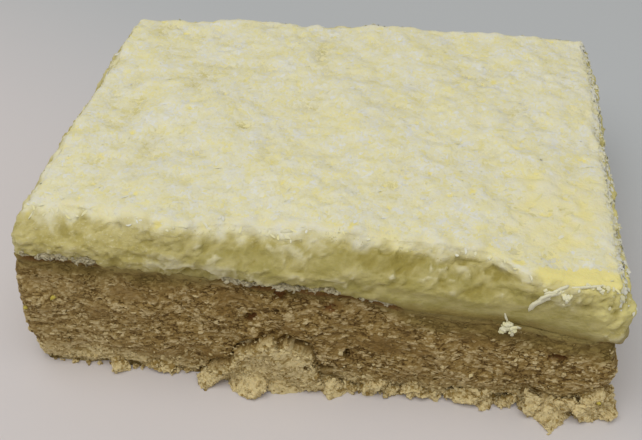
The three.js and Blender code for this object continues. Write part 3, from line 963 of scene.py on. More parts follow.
def coconut_piece(name, laid, faces, out, material, **values):
    """One kind of coconut, kept below the headroom. It is shaded mostly by the normals (out) of the
    icing that it lies on, turned up a little on the rounded edge."""
    laid[..., 2] = np.minimum(laid[..., 2], HEADROOM)
    lying = unit(out + 0.6 * np.array((0, 0, 1)) * ease(1 - out[:, 2:], 0, 0.3))
    soft = shaded_softly(np.repeat(lying, laid.shape[1], axis=0), laid, faces, 0.25)
    piece(name, laid, faces, material, "coconut", normals=soft, **values)


def coconut_lying(name, rng, shapes, faces, lift, steep, surface, material, level_only=False):
    """One kind of coconut, strewn over the icing: each shape at a drawn place, headed any way, with a
    steepness drawn round 0 that is greater on the rounded edge. Along the rim the shapes are smaller
    and sunk a little. With level_only, they lie only where the icing is nearly level and inside its
    rim."""
    points, normals, _ = surface
    weights = coconut_weights(points, normals)
    if level_only:
        level_share = 0.9
        weights = weights * ease(normals[:, 2], level_share, level_share + 0.06)
        weights = weights * ease(inside_rim(points), 0.5, 1.5)
    count = len(shapes)
    places, out = drawn_places(rng, surface, weights, count)
    heading = any_way(rng, out)
    on_rim = ease(1.0 - inside_rim(places), 0, 0.9) * (1 - at_end(places, out))
    raised = places + out * (rng.uniform(*lift, count) - 0.07 * on_rim)[:, None]
    smaller = shapes * (1 - 0.5 * on_rim)[:, None, None]
    pitch = rng.normal(0, steep, count) * (1 + 1.5 * ease(below_top(places), 0.6, 1.6))
    laid = draped(set_down(smaller, raised, out, heading, pitch, rng.normal(0, 0.03, count)), places, out)
    coconut_piece(name, laid, faces, out, material, **coconut_values(rng, places, out))


def add_coconut(surface, material):
    """Long shreds, broad flakes and small grains over the icing, all of them thin."""
    rng = np.random.default_rng(1)
    length = 1.0 + 2.0 * rng.random(SHREDS) ** 1.8
    shapes = drawn_shreds(rng, length, (-0.12, 0.12), (-0.05, 0.0), (-0.1, 0.1), (0.26, 0.5), (0.1, 0.16))
    faces = ribbon_faces(SHREDS, SHRED_STEPS)
    coconut_lying("coconut_shreds", rng, shapes, faces, (-0.03, 0.03), 0.02, surface, material, True)
    for name, seed, count, corners, long, wide, thick, lift, steep in COCONUT_CHIPS:
        rng = np.random.default_rng(seed)
        shapes = drawn_chips(rng, rng.uniform(*long, count), wide, thick, corners)
        coconut_lying(name, rng, shapes, chip_faces(count, corners), lift, steep, surface, material)


def add_wisps(surface, material):
    """Fine white shreds that stand out a little from the rounded rim of the icing."""
    rng = np.random.default_rng(12)
    points, normals, _ = surface
    rim = ease(normals[:, 2], 0.35, 0.6) * ease(0.97 - normals[:, 2], 0, 0.08)
    places, out = drawn_places(rng, surface, rim * (below_top(points) < 1.1) * (points[:, 2] > 24), WISPS)
    length = 0.5 + 0.9 * rng.random(WISPS) ** 2
    shapes = drawn_shreds(rng, length, (-0.2, 0.2), (-0.1, 0.1), (-0.3, 0.3), (0.2, 0.38), (0.1, 0.16))
    heading = any_way(rng, out)
    pitch, roll = rng.normal(0, 0.09, WISPS), rng.normal(0, 0.2, WISPS)
    laid = set_down(shapes, places + 0.05 * out, out, heading, pitch, roll)
    tint = coconut_values(rng, places, out)["tint"]
    coconut_piece("rim_wisps", laid, ribbon_faces(WISPS, SHRED_STEPS), out, material, tint=tint)


def add_strands(name, strands, material, slot, **values):
    """Single shreds or flakes that show: a ribbon facing the front through each one's own points, which are
    smoothed three times by halves and quarters and then made crooked by noise."""
    steps = 12
    widths, thicknesses, routes = zip(*strands)
    way = np.linspace(0, 1, steps + 1)
    paths = np.stack([
        [np.interp(way, np.linspace(0, 1, len(route)), axis) for axis in zip(*route)] for route in routes
    ]).transpose(0, 2, 1)
    for _ in range(3):
        paths[:, 1:-1] = 0.25 * paths[:, :-2] + 0.5 * paths[:, 1:-1] + 0.25 * paths[:, 2:]
    across = np.cross((0, -1, 0), np.gradient(paths, axis=1))
    shapes = ribbons(paths, across, np.array(widths), np.array(thicknesses))
    points = warped(shapes.reshape(-1, 3), 0.6, 0.14, 141)
    piece(name, points, ribbon_faces(len(shapes), steps), material, slot, **values)


def add_clots(material):
    """Clots of small flakes: each clot's flakes are spread round its middle and face every way, most of
    them the front."""
    rng = np.random.default_rng(11)
    rows = np.repeat(np.array(CLOTS), [clot[-1] for clot in CLOTS], axis=0)
    count, corners, depth = len(rows), 6, 0.22
    reach = np.stack([rows[:, 3], np.full(count, depth), rows[:, 4]], axis=-1)
    spread = np.clip(rng.normal(size=(count, 3)), -1.6, 1.6) * reach
    shapes = drawn_chips(rng, rng.uniform(0.5, 1.2, count), (0.5, 0.9), (0.2, 0.4), corners)
    up = unit(np.array((0, -1, 0.3)) + 0.7 * rng.normal(size=(count, 3)))
    laid = set_down(shapes, rows[:, :3] + spread, up, any_way(rng, up))
    faces = chip_faces(count, corners)
    soft = shaded_softly(np.array((0, -0.7, 0.7)), laid, faces, 0.9)
    piece("clots", laid, faces, material, "coconut", normals=soft, tint=rng.uniform(0.2, 0.65, count))


def ledge_surface():
    """The ragged ledges along the icing's lower edge, as points and triangles. Each is a row of rings
    round a wedge-shaped section, whose edge stands out by smooth noise and by the broken steps of
    cells."""
    section = np.array((
        (0, -0.5), (0, 0.9), (0.62, 0.8), (0.86, 0.42), (1, 0.05), (0.93, -0.28), (0.72, -0.36),
    ))
    root, step, set_back = 1.6, 0.12, 1.0
    around = len(section)
    points, faces = [], []
    count = 0
    for start, end, reach in LEDGES:
        x = np.arange(start, end, step)
        spots = np.stack([x, np.full_like(x, FRONT), np.zeros_like(x)], axis=-1)
        broken, _ = slabs(spots * (0.45, 1, 1), 1.1, 151)
        window = ease(np.minimum(x - start, end - x), 0, LEDGE_FADE)
        hollow_shade = 0.7 + 0.5 * noise(spots, 2.6, 155) + 0.6 * broken + 0.25 * noise(spots, 1.0, 156)
        out = reach * hollow_shade * window - set_back * (1 - window)
        middle = layer_line(x, FRONT) + 0.75 + 0.35 * noise(spots, 3.4, 157)
        thick = 0.55 + 0.3 * noise(spots, 1.7, 158)
        y = FRONT + root - (root + out)[:, None] * section[:, 0]
        z = middle[:, None] + thick[:, None] * section[:, 1]
        rings = np.stack([np.broadcast_to(x[:, None], y.shape), y, z], axis=-1).reshape(-1, 3)
        rings = warped(rings, 0.7, 0.2, 161)
        first, last = np.arange(around), len(rings) - around + np.arange(around)
        ends = [fan_faces(first[::-1], len(rings)), fan_faces(last, len(rings) + 1)]
        faces.append(np.vstack([ring_faces(len(x), around), *ends]) + count)
        points += [rings, rings[first].mean(axis=0)[None], rings[last].mean(axis=0)[None]]
        count += len(rings) + 2
    return np.vstack(points), np.vstack(faces)


def add_ledges(material):
    """The ledges of dragged crumb, and flakes that lie along their outer edges."""
    points, faces = ledge_surface()
    tone = np.clip(0.6 + 0.5 * noise(points, 0.9, 165), 0, 1)
    piece("crumb_ledges", points, faces, material, "crumb_base", tone=tone, pale=1.0, creamy=1.0)

    rng = np.random.default_rng(8)
    count, corners = LEDGE_FLAKES, 5
    weights = ledge_window(points[:, 0]) * ease(FRONT + 0.4 - points[:, 1], 0, 0.4)
    places, out = drawn_places(rng, (points, *normals_of(points, faces)), weights, count)
    shapes = drawn_chips(rng, rng.uniform(0.5, 1.5, count), (0.5, 0.9), (0.1, 0.2), corners)
    up = unit(out + 0.5 * rng.normal(size=(count, 3)))
    heading = unit((1, 0, 0) + 0.4 * rng.normal(size=(count, 3)))
    laid = set_down(shapes, places, up, heading, rng.normal(0, 0.2, count), rng.normal(0, 0.2, count))
    tone = np.clip(rng.normal(0.75, 0.25, count), 0, 1)
    flakes = chip_faces(count, corners)
    piece("ledge_flakes", laid, flakes, material, "crumb_base", tone=tone, pale=1.0, creamy=1.0)


# Crumbs on and in the base


def clinging_tone(points, tone, fine):
    """How light each point of a clinging crumb is: by its slab, with painted shade in the cracks and
    close to the cut."""
    near_cut = ease(points[..., 1] - FRONT, -2.0, 0.2)
    return np.clip(0.8 + 0.4 * (tone - 0.5) + 0.4 * fine - 0.5 * near_cut, 0, 1)


def other_cuts():
    """The outline of the cuts other than the front one, and the way out of it at each point."""
    outline, out = plan(BASE_COLUMNS)
    others = out[:, 1] > -0.9
    return outline[others], out[others]


def other_crumbs():
    """Smaller crumbs spread along the foot of the other three cuts: their middles and half sizes."""
    rng = np.random.default_rng(4)
    outline, out = other_cuts()
    share = (np.arange(OTHER_CRUMBS) + 0.7 * rng.random(OTHER_CRUMBS)) / OTHER_CRUMBS
    at = (share * len(outline)).astype(int)
    flat = outline[at] - out[at] * rng.uniform(0.7, 1.4, OTHER_CRUMBS)[:, None]
    middles = np.concatenate([flat, rng.uniform(0.9, 1.6, OTHER_CRUMBS)[:, None]], axis=-1)
    return middles, rng.uniform(1.1, 2.1, OTHER_CRUMBS)[:, None] * (1.1, 1.1, 0.8)


def small_crumbs(rng):
    """Small angular crumbs that hang together along the foot of the front cut, smaller towards the
    left-hand end: their middles and half sizes."""
    x = np.linspace(LEFT + 3, RIGHT - 0.4, SMALL_CRUMBS) + rng.uniform(-0.5, 0.5, SMALL_CRUMBS)
    size = rng.uniform(0.6, 1.2, SMALL_CRUMBS) * (0.4 + 0.6 * ease(x, -27, -19))
    before = rng.uniform(-0.6, 0.7, SMALL_CRUMBS) * ease(x, -30, -18) - 0.3
    middles = np.stack([x, FRONT - before, 0.8 * size], axis=-1)
    return middles, size[:, None] * (1.1, 1.0, 1.0)


def foot_teeth(material):
    """Pointed teeth along the foot of the front cut, and their points and triangles. Each is a row of
    roof-shaped sections from a root inside the cut to a tip on the floor: width and height shrink
    towards the tip by powers of the way left, and slabs and noise roughen the whole."""
    root_depth, tip_size = 1.6, 0.02
    rng = np.random.default_rng(13)
    count = len(TEETH)
    tips, half_width, height = TEETH[:, :2], TEETH[:, 2, None, None], TEETH[:, 3, None, None]
    root_x = tips[:, 0] + rng.uniform(-0.5, 0.5, count)
    roots = np.stack([root_x, np.full(count, FRONT + root_depth)], axis=-1)
    way_left = np.linspace(1, tip_size, TOOTH_RINGS)[None, :, None]
    turn = 2 * np.pi * np.arange(TOOTH_AROUND) / TOOTH_AROUND
    across = -np.cos(turn)[None, None]
    sideways = half_width * way_left**0.75 * across
    ridge = height * way_left**0.6 * (1 - np.abs(across)) ** 0.8
    line = roots[:, None] * way_left + tips[:, None] * (1 - way_left)
    ahead = unit(tips - roots)
    side = np.stack([-ahead[:, 1], ahead[:, 0]], axis=-1)
    flat = line[:, :, None] + side[:, None, None] * sideways[..., None]
    z = np.where(np.sin(turn)[None, None] < 0, ridge, 0.0)
    points = np.concatenate([flat, z[..., None]], axis=-1)
    ends = np.concatenate([points[:, :1].mean(axis=2), points[:, -1:].mean(axis=2)], axis=1)
    points = np.concatenate([points.reshape(count, -1, 3), ends], axis=1).reshape(-1, 3)
    faces = ball_faces(count, TOOTH_RINGS, TOOTH_AROUND)
    out, _ = normals_of(points, faces)
    crooked = warped(points, 1.6, 0.5, 171)
    broad, _ = slabs(crooked, 1.3, 174)
    fine, tone = slabs(crooked, 0.55, 178)
    relief = 0.35 * broad + 0.2 * fine + 0.25 * noise(points, 1.2, 182)
    points = points + out * relief[:, None]
    points[:, 2] = np.maximum(points[:, 2], ON_FLOOR)
    tone = clinging_tone(points, tone, fine)
    piece("foot_teeth", points, faces, material, "crumb_base", smooth=False, tone=tone, pale=1.0)
    return points, faces


def foot_crumbs(material):
    """The crumbs that cling to the foot of the cuts: those of the front cut at their own places, and
    smaller ones. Gives the points, ways out and shares of area of crumbs and teeth, where loose bits
    lie."""
    rng = np.random.default_rng(9)
    x, z, before, *half = FRONT_CRUMBS.T
    others, other_halves = other_crumbs()
    small, small_halves = small_crumbs(rng)
    middles = np.vstack([np.stack([x, FRONT - before, z], axis=-1), others, small])
    halves = np.vstack([np.stack(half, axis=-1), other_halves, small_halves])
    shapes, tone, fine = crumb_shapes(rng, halves, CRUMB_RINGS, CRUMB_AROUND)
    points = (shapes + middles[:, None]).reshape(-1, 3)
    points[:, 2] = np.maximum(points[:, 2], ON_FLOOR)
    tone = clinging_tone(points, tone, fine)
    faces = ball_faces(len(middles), CRUMB_RINGS, CRUMB_AROUND)
    piece("foot_crumbs", points, faces, material, "crumb_base", smooth=False, tone=tone, pale=1.0)
    teeth, tooth_faces = foot_teeth(material)
    both = np.vstack([points, teeth])
    return (both, *normals_of(both, np.vstack([faces, tooth_faces + len(points)])))


def base_weights(points, normals):
    """How densely bits are pressed into the cuts of the base: thinner in the buttery band, and uneven
    from place to place."""
    upright = np.abs(normals[:, 2]) < 0.8
    uneven = 0.35 + ease(noise(points, 4, 121), -0.5, 0.6)
    in_base = (points[:, 2] > 0.3) * (below_line(points) > 0.2)
    return upright * in_base * uneven * (1 - 0.8 * butter_and_shade_mask(points))


def pressed_bits(name, seed, count, corners, long, wide, thick, lying, tone, surface, material):
    """One kind of bit pressed into the cuts of the base: chips that lie level, half sunk and seen edge
    on, and a share of them (lying) flat against the cut. Long, wide and thick are the limits between
    which their sizes are drawn, and tone is their middle lightness."""
    rng = np.random.default_rng(seed)
    points, normals, _ = surface
    length = rng.uniform(*long, count)
    shapes = chips(rng, length, rng.uniform(*wide, count), rng.uniform(*thick, count), corners, 0.03)
    places, out = drawn_places(rng, surface, base_weights(points, normals), count)
    level_out = unit(out * (1, 1, 0.3))
    heading = unit(np.cross((0, 0, 1), level_out))
    up = np.cross(level_out, heading)
    flat = rng.random(count) < lying
    sunk = places - level_out * np.where(flat, 0.02, rng.uniform(0.08, 0.34, count))[:, None]
    roll = rng.normal(0, 0.3, count) + 0.5 * np.pi * flat
    laid = set_down(shapes, sunk, up, heading, rng.normal(0, 0.22, count), roll)
    laid[..., 2] = np.maximum(laid[..., 2], ON_FLOOR)
    values = {
        "tone": np.clip(tone + 0.15 * noise(places, 3, seed + 130) + rng.normal(0, 0.16, count), 0, 1),
        "pale": np.clip(chunk_mask(places, out)[0] + freshly_cut(places), 0, 1),
        "butter_and_shade": 0.7 * butter_and_shade_mask(places),
    }
    piece(name, laid, chip_faces(count, corners), material, "crumb_base", smooth=False, **values)


def loose_bits(base, crumbs, material):
    """Bits that lie every way: all over the clinging crumbs, and on the foot of the cuts."""
    rng = np.random.default_rng(7)
    count, corners = LOOSE_BITS, 5
    surface = tuple(np.concatenate(pair) for pair in zip(base, crumbs))
    points, normals, _ = surface
    on_base = np.arange(len(points)) < len(base[0])
    height = points[:, 2]
    foot = (np.abs(normals[:, 2]) < 0.8) * (np.exp(-height / 2.4) + 0.5 * chunk_mask(points, normals)[0])
    weights = np.where(on_base, foot * (height > 0.2), 0.8 * (height > 0.15))
    places, out = drawn_places(rng, surface, weights, count)
    length = 0.45 + 0.9 * rng.random(count) ** 2
    wide, thick = length * rng.uniform(0.4, 0.9, count), length * rng.uniform(0.15, 0.35, count)
    shapes = chips(rng, length, wide, thick, corners)
    up = unit(out + 0.6 * rng.normal(size=(count, 3)))
    laid = set_down(shapes, places, up, any_way(rng, up))
    laid[..., 2] = np.maximum(laid[..., 2], ON_FLOOR)
    tone = np.clip(rng.normal(0.62, 0.25, count), 0, 1)
    faces = chip_faces(count, corners)
    piece("loose_bits", laid, faces, material, "crumb_base", smooth=False, tone=tone, pale=0.9)


def add_zest(material):
    """The bits of lemon zest that show in the front cut, and a few more in the other cuts."""
    rng = np.random.default_rng(10)
    outline, out = other_cuts()
    at = rng.choice(len(outline), OTHER_ZEST)
    height = rng.uniform(3, 17, OTHER_ZEST)
    middles = np.vstack([ZEST, np.concatenate([outline[at] + 0.3 * out[at], height[:, None]], axis=-1)])
    ways = np.vstack([np.broadcast_to((0.0, -1.0), (len(ZEST), 2)), out[at]])
    ways = np.concatenate([ways, np.zeros((len(ways), 1))], axis=-1)
    count, corners = len(middles), 7
    length = rng.uniform(0.9, 1.7, count)
    shapes = chips(rng, length, 0.6 * length, np.full(count, 0.5), corners, 0.1)
    heading = any_way(rng, ways)
    turn = rng.normal(0, 0.3, count)
    laid = set_down(shapes, middles, ways, heading, turn, turn)
    piece("zest", laid, chip_faces(count, corners), material, "crumb_base")


# Materials

# The crumb's colours, from the painted shade of its hollows to its grains, in brown patches, where it broke
# fresh, on the creamy ledges, in the buttery band that is partly painted shade, along the seam, and in the
# stained hollows and the painted shadow under the ledges
CRUMB_DARK, CRUMB_TAN, CRUMB_GRAIN = (0.12, 0.065, 0.014), (0.32, 0.21, 0.062), (0.68, 0.55, 0.3)
CRUMB_BROWN = (0.26, 0.16, 0.043)
FRESH_DARK, FRESH_LIGHT = (0.33, 0.22, 0.06), (0.75, 0.62, 0.33)
CREAM_DARK, CREAM_LIGHT = (0.25, 0.2, 0.1), (0.53, 0.47, 0.31)
BUTTER_AND_SHADE_DARK, BUTTER_AND_SHADE_LIGHT = (0.18, 0.12, 0.028), (0.32, 0.235, 0.07)
SEAM_COLOUR, STAIN_AND_SHADOW_COLOUR = (0.33, 0.26, 0.085), (0.2, 0.085, 0.02)

# The icing's colours: on its cut sides, darker than the bare top as painted shade, where it is smeared, in
# the painted shade of hollows, the painted highlight of lumps and the painted light of the right-hand end,
# under the dust of coconut, where that is bare, and along the lower edge, stained and darkened as painted
# shade
ICING_DEEP, ICING_PALE, ICING_CREAMY = (0.47, 0.4, 0.13), (0.57, 0.5, 0.21), (0.66, 0.6, 0.33)
SMEAR_DEEP, SMEAR_PALE = (0.39, 0.337, 0.104), (0.5, 0.437, 0.178)
HOLLOW_SHADE_COLOUR, LUMP_HIGHLIGHT_COLOUR, LIT_END_COLOUR = (0.34, 0.28, 0.068), (0.66, 0.61, 0.37), (0.69, 0.62, 0.25)
DUST_WARM, DUST_WHITE, BARE_COLOUR = (0.8, 0.75, 0.46), (0.79, 0.77, 0.62), (0.84, 0.75, 0.3)
STAINED_SHADED_EDGE_COLOUR = (0.25, 0.18, 0.045)

# The coconut's colours, from stained to white, and where the icing coats it; then those of zest and of the
# floor, whose far colour is darker as painted shade
COCONUT_STAINED, COCONUT_WARM, COCONUT_WHITE = (0.81, 0.75, 0.38), (0.8, 0.77, 0.54), (0.78, 0.78, 0.71)
COATED_DEEP, COATED_PALE = (0.44, 0.38, 0.13), (0.58, 0.52, 0.27)
ZEST_DEEP, ZEST_PALE = (0.5, 0.4, 0.06), (0.62, 0.52, 0.1)
FLOOR_NEAR, FLOOR_FAR = (0.68, 0.64, 0.64), (0.52, 0.54, 0.555)


def node(tree, kind, inputs=None, **settings):
    """A shader node with its settings made and its inputs either linked or given a value."""
    made = tree.nodes.new(kind)
    for key, value in settings.items():
        setattr(made, key, value)
    for key, value in (inputs or {}).items():
        if isinstance(value, bpy.types.NodeSocket):
            tree.links.new(value, made.inputs[key])
        else:
            made.inputs[key].default_value = value
    return made


def maths(tree, operation, *values):
    """The result of a Math node on values or sockets."""
    return node(tree, "ShaderNodeMath", dict(enumerate(values)), operation=operation).outputs[0]


def vector_maths(tree, operation, *values):
    """The result of a Vector Math node on vectors or sockets."""
    return node(tree, "ShaderNodeVectorMath", dict(enumerate(values)), operation=operation).outputs[0]


def blended(tree, mask, low, high):
    """The colour low where the mask is 0 and high where it is 1; each is a colour or a socket."""
    low, high = ((*side, 1) if isinstance(side, tuple) else side for side in (low, high))
    mix = node(tree, "ShaderNodeMix", {0: mask, 6: low, 7: high}, data_type="RGBA")
    return mix.outputs[2]


def stepped(tree, value, low, high):
    """A smooth mask that is 0 at low and 1 at high."""
    ramp = node(tree, "ShaderNodeMapRange", {0: value, 1: low, 2: high}, interpolation_type="SMOOTHSTEP")
    return ramp.outputs[0]


def ramped(tree, value, low, high, dark, light):
    """The colour dark where the value is low or less, light where it is high or more, and smooth
    between."""
    return blended(tree, stepped(tree, value, low, high), dark, light)


def scaled(tree, value, factor, offset):
    """A value times a factor, which may be a socket, plus an offset, which may be one too."""
    return maths(tree, "MULTIPLY_ADD", value, factor, offset)


def read(tree, name):
    """The value of the piece's own attribute."""
    return node(tree, "ShaderNodeAttribute", attribute_name=name).outputs["Fac"]


def overlaid(tree, colour, layers):
    """The colour with the layers' own colours over it, one after the other. Each is named for the
    attribute that says how much of it there is."""
    for name, over in layers.items():
        colour = blended(tree, read(tree, name), colour, over)
    return colour


def new_group(name, inputs, outputs):
    """An empty node group with float inputs, given with their first values, and float outputs."""
    group = bpy.data.node_groups.new(name, "ShaderNodeTree")
    for key, value in inputs.items():
        group.interface.new_socket(key, in_out="INPUT", socket_type="NodeSocketFloat").default_value = value
    for key in outputs:
        group.interface.new_socket(key, in_out="OUTPUT", socket_type="NodeSocketFloat")
    return group, node(group, "NodeGroupInput").outputs


def place_in_waves(tree, size, stretch):
    """The place on the piece, in units of a size in millimetres that is stretched along the level."""
    wave = maths(tree, "DIVIDE", 1 / MM, size)
    upright = maths(tree, "MULTIPLY", wave, stretch)
    scale = node(tree, "ShaderNodeCombineXYZ", {0: wave, 1: wave, 2: upright})
    place = node(tree, "ShaderNodeTexCoord").outputs["Object"]
    return vector_maths(tree, "MULTIPLY", place, scale.outputs[0])


def mottle_group():
    """A node group: smooth spots of a given size, in millimetres, stretched along the level by a given
    factor."""
    group, given = new_group("mottle", {"Size": 2.0, "Stretch": 1.0, "Shift": 0.0}, ["Spots"])
    place = place_in_waves(group, given["Size"], given["Stretch"])
    moved = vector_maths(group, "ADD", place, given["Shift"])
    detail = {"Vector": moved, "Scale": 1.0, "Detail": 3.0, "Roughness": 0.6}
    node(group, "NodeGroupOutput", {"Spots": node(group, "ShaderNodeTexNoise", detail).outputs[0]})
    return group


def flake_group():
    """A node group: broken flakes of a given size in millimetres that lie level, longer than they are
    high. Gap is 1 in the cracks between them and 0 on them, and Shade is each flake's own value."""
    flatness, drift_reach, crack = 2.6, (0.7, 0.7, 0.7), 0.13
    group, given = new_group("flakes", {"Size": 1.0}, ["Gap", "Shade"])
    place = place_in_waves(group, given["Size"], flatness)
    waves = {"Vector": place, "Scale": 0.8, "Detail": 2.0}
    drift = node(group, "ShaderNodeTexNoise", waves).outputs["Color"]
    bent = {"Vector": vector_maths(group, "MULTIPLY_ADD", drift, drift_reach, place), "Scale": 1.0}
    edge = node(group, "ShaderNodeTexVoronoi", bent, feature="DISTANCE_TO_EDGE").outputs["Distance"]
    own = node(group, "ShaderNodeTexVoronoi", bent, feature="F1").outputs["Color"]
    node(group, "NodeGroupOutput", {"Gap": stepped(group, edge, crack, 0.0), "Shade": own})
    return group


def placed_group(tree, group, **inputs):
    """The outputs of one use of a node group with its own values."""
    made = node(tree, "ShaderNodeGroup", inputs, node_tree=group)
    return made.outputs


def mottled(tree, group, size, stretch, shift):
    """The spots of one use of the mottle group."""
    return placed_group(tree, group, Size=size, Stretch=stretch, Shift=shift)["Spots"]


def started(name, roughness, subsurface=0.0, radius=(1.0, 0.8, 0.5), reach=1.0, specular=0.3):
    """A new material with its shader, whose constants are set on the shader's own sockets."""
    material = bpy.data.materials.new(name)
    material.use_nodes = True
    shader = material.node_tree.nodes["Principled BSDF"]
    shader.inputs["Roughness"].default_value = roughness
    shader.inputs["Specular IOR Level"].default_value = specular
    shader.inputs["Subsurface Weight"].default_value = subsurface
    shader.inputs["Subsurface Radius"].default_value = radius
    shader.inputs["Subsurface Scale"].default_value = reach * MM
    return material, material.node_tree, shader


def finished(material, tree, shader, colour, height, depth):
    """The material with its colour linked, and its fine relief, depth in millimetres."""
    tree.links.new(colour, shader.inputs["Base Color"])
    bump = node(tree, "ShaderNodeBump", {"Height": height, "Distance": depth * MM, "Strength": 1.0})
    tree.links.new(bump.outputs[0], shader.inputs["Normal"])
    return material


def crumb_material(mottle, flakes):
    """Pressed crumb: from hollows darkened as painted shade to pale grains, with level flakes and the
    cracks between them darkened as painted shade, browner in patches and in the buttery band, which
    is partly painted shade, and paler where it broke fresh."""
    material, tree, shader = started(
        "pressed_crumb", roughness=0.75, subsurface=0.12, reach=0.8, specular=0.25
    )
    fine = mottled(tree, mottle, size=0.45, stretch=1.8, shift=3.0)
    broad = mottled(tree, mottle, size=7.0, stretch=1.4, shift=11.0)
    flaked = placed_group(tree, flakes, Size=1.3)
    where_cracked = stepped(tree, mottled(tree, mottle, size=2.2, stretch=1.5, shift=21.0), 0.46, 0.6)
    cracked = maths(tree, "MULTIPLY", flaked["Gap"], where_cracked)
    cracked = scaled(tree, cracked, scaled(tree, read(tree, "pale"), -0.6, 1.0), 0.0)
    tone = scaled(tree, fine, 0.8, scaled(tree, flaked["Shade"], 0.26, read(tree, "tone")))
    # Painted shade: the cracks between the flakes are darkened, less so on pale crumb.
    tone = scaled(tree, cracked, -0.55, scaled(tree, tone, 1.0, -0.53))
    colour = ramped(tree, tone, 0.0, 0.45, CRUMB_DARK, CRUMB_TAN)
    colour = ramped(tree, tone, 0.4, 1.0, colour, CRUMB_GRAIN)
    colour = ramped(tree, broad, 0.5, 0.7, colour, CRUMB_BROWN)
    # Painted shade: the buttery band is partly shade under the icing, and the stain colour also paints the
    # shadow under each ledge.
    colour = overlaid(tree, colour, {
        "pale": ramped(tree, tone, 0.0, 0.75, FRESH_DARK, FRESH_LIGHT),
        "creamy": ramped(tree, tone, 0.0, 0.9, CREAM_DARK, CREAM_LIGHT),
        "butter_and_shade": ramped(tree, tone, 0.1, 0.9, BUTTER_AND_SHADE_DARK, BUTTER_AND_SHADE_LIGHT),
        "seam": SEAM_COLOUR,
        "stain": STAIN_AND_SHADOW_COLOUR,
    })
    height = scaled(tree, fine, 0.8, scaled(tree, cracked, -0.5, scaled(tree, flaked["Shade"], 0.35, 0.5)))
    return finished(material, tree, shader, colour, height, depth=0.22)


def icing_material(mottle):
    """Butter icing: pale lemon yellow, darker on its cut sides and deeper in its hollows as painted shade,
    with a painted highlight on its lumps and painted light on the right-hand end, creamier in patches,
    dusted with coconut on top, and stained and darkened by painted shade where it meets the base."""
    material, tree, shader = started(
        "lemon_icing", roughness=0.62, subsurface=0.15, radius=(1.0, 0.85, 0.35), reach=0.9, specular=0.2
    )
    broad = mottled(tree, mottle, size=3.2, stretch=1.8, shift=31.0)
    fine = mottled(tree, mottle, size=0.7, stretch=1.8, shift=41.0)
    # Painted shade: the cut sides' colours are darker than the bare top's.
    colour = ramped(tree, broad, 0.35, 0.62, ICING_DEEP, ICING_PALE)
    colour = ramped(tree, fine, 0.5, 0.75, colour, ICING_CREAMY)
    smooth = ramped(tree, broad, 0.35, 0.65, SMEAR_DEEP, SMEAR_PALE)
    colour = overlaid(tree, colour, {"smeared": smooth})
    # Painted shade in the hollows and a painted highlight on the lumps of the cut sides.
    colour = ramped(tree, read(tree, "hollow_shade"), 0.0, 0.8, colour, HOLLOW_SHADE_COLOUR)
    colour = ramped(tree, read(tree, "lump_highlight"), 0.1, 0.8, colour, LUMP_HIGHLIGHT_COLOUR)
    dust = ramped(tree, broad, 0.35, 0.65, DUST_WARM, DUST_WHITE)
    top = overlaid(tree, dust, {"bare": BARE_COLOUR})
    # Painted light on the right-hand end, and painted shade together with stain along the lower edge.
    colour = overlaid(tree, colour, {"lit_end": LIT_END_COLOUR, "dusted": top, "stained_shaded_edge": STAINED_SHADED_EDGE_COLOUR})
    return finished(material, tree, shader, colour, fine, depth=0.2)


def coconut_material(mottle):
    """Desiccated coconut: off-white, some of it stained by the icing or coated in it, some of a cooler
    white."""
    material, tree, shader = started("desiccated_coconut", roughness=0.6, specular=0.2)
    tint = read(tree, "tint")
    colour = ramped(tree, tint, 0.0, 0.55, COCONUT_STAINED, COCONUT_WARM)
    colour = ramped(tree, tint, 0.5, 1.0, colour, COCONUT_WHITE)
    colour = overlaid(tree, colour, {"coated": ramped(tree, tint, 0.1, 0.7, COATED_DEEP, COATED_PALE)})
    fine = mottled(tree, mottle, size=0.5, stretch=1.0, shift=51.0)
    return finished(material, tree, shader, colour, fine, depth=0.03)


def zest_material(mottle):
    """Lemon zest: a saturated yellow with a green tinge."""
    material, tree, shader = started(
        "lemon_zest", roughness=0.5, subsurface=0.2, radius=(1.0, 0.8, 0.2), reach=0.6
    )
    fine = mottled(tree, mottle, size=0.5, stretch=1.0, shift=71.0)
    colour = ramped(tree, fine, 0.3, 0.7, ZEST_DEEP, ZEST_PALE)
    return finished(material, tree, shader, colour, fine, depth=0.1)


def floor_material(mottle):
    """The plain pale surface that the slice stands on, cooler and darker towards the back right as painted
    shade.
    """
    material, tree, shader = started("pale_floor", roughness=0.6)
    place = node(tree, "ShaderNodeSeparateXYZ", {0: node(tree, "ShaderNodeTexCoord").outputs["Object"]})
    distance = scaled(tree, place.outputs[0], 0.6, place.outputs[1])
    # Painted shade: darker and cooler towards the back right.
    colour = ramped(tree, distance, -0.04, 0.08, FLOOR_NEAR, FLOOR_FAR)
    broad = mottled(tree, mottle, size=60.0, stretch=1.0, shift=81.0)
    return finished(material, tree, shader, colour, broad, depth=0.01)


# Floor, lights and camera

# How far the floor reaches each way, in metres
FLOOR_REACH = 1.5

# The fitted camera: its lens and the picture's width in pixels, its azimuth, elevation and roll in
# degrees, the place on the floor that it looks at, and how far from there it stands
LENS_PIXELS, PICTURE_PIXELS, SENSOR = 950, 642, 36
VIEW = (7.98, 39.5, -0.73)
TARGET, CAMERA_DISTANCE = (-4.54, 6.99, 0), 195.4


def add_floor(material):
    """A wide flat square at z = 0."""
    corners = [(FLOOR_REACH * x, FLOOR_REACH * y, 0) for x, y in ((-1, -1), (1, -1), (1, 1), (-1, 1))]
    mesh = bpy.data.meshes.new("floor")
    mesh.from_pydata(corners, [], [(0, 1, 2, 3)])
    mesh.materials.append(material)
    floor = bpy.data.objects.new("floor", mesh)
    bpy.context.scene.collection.objects.link(floor)


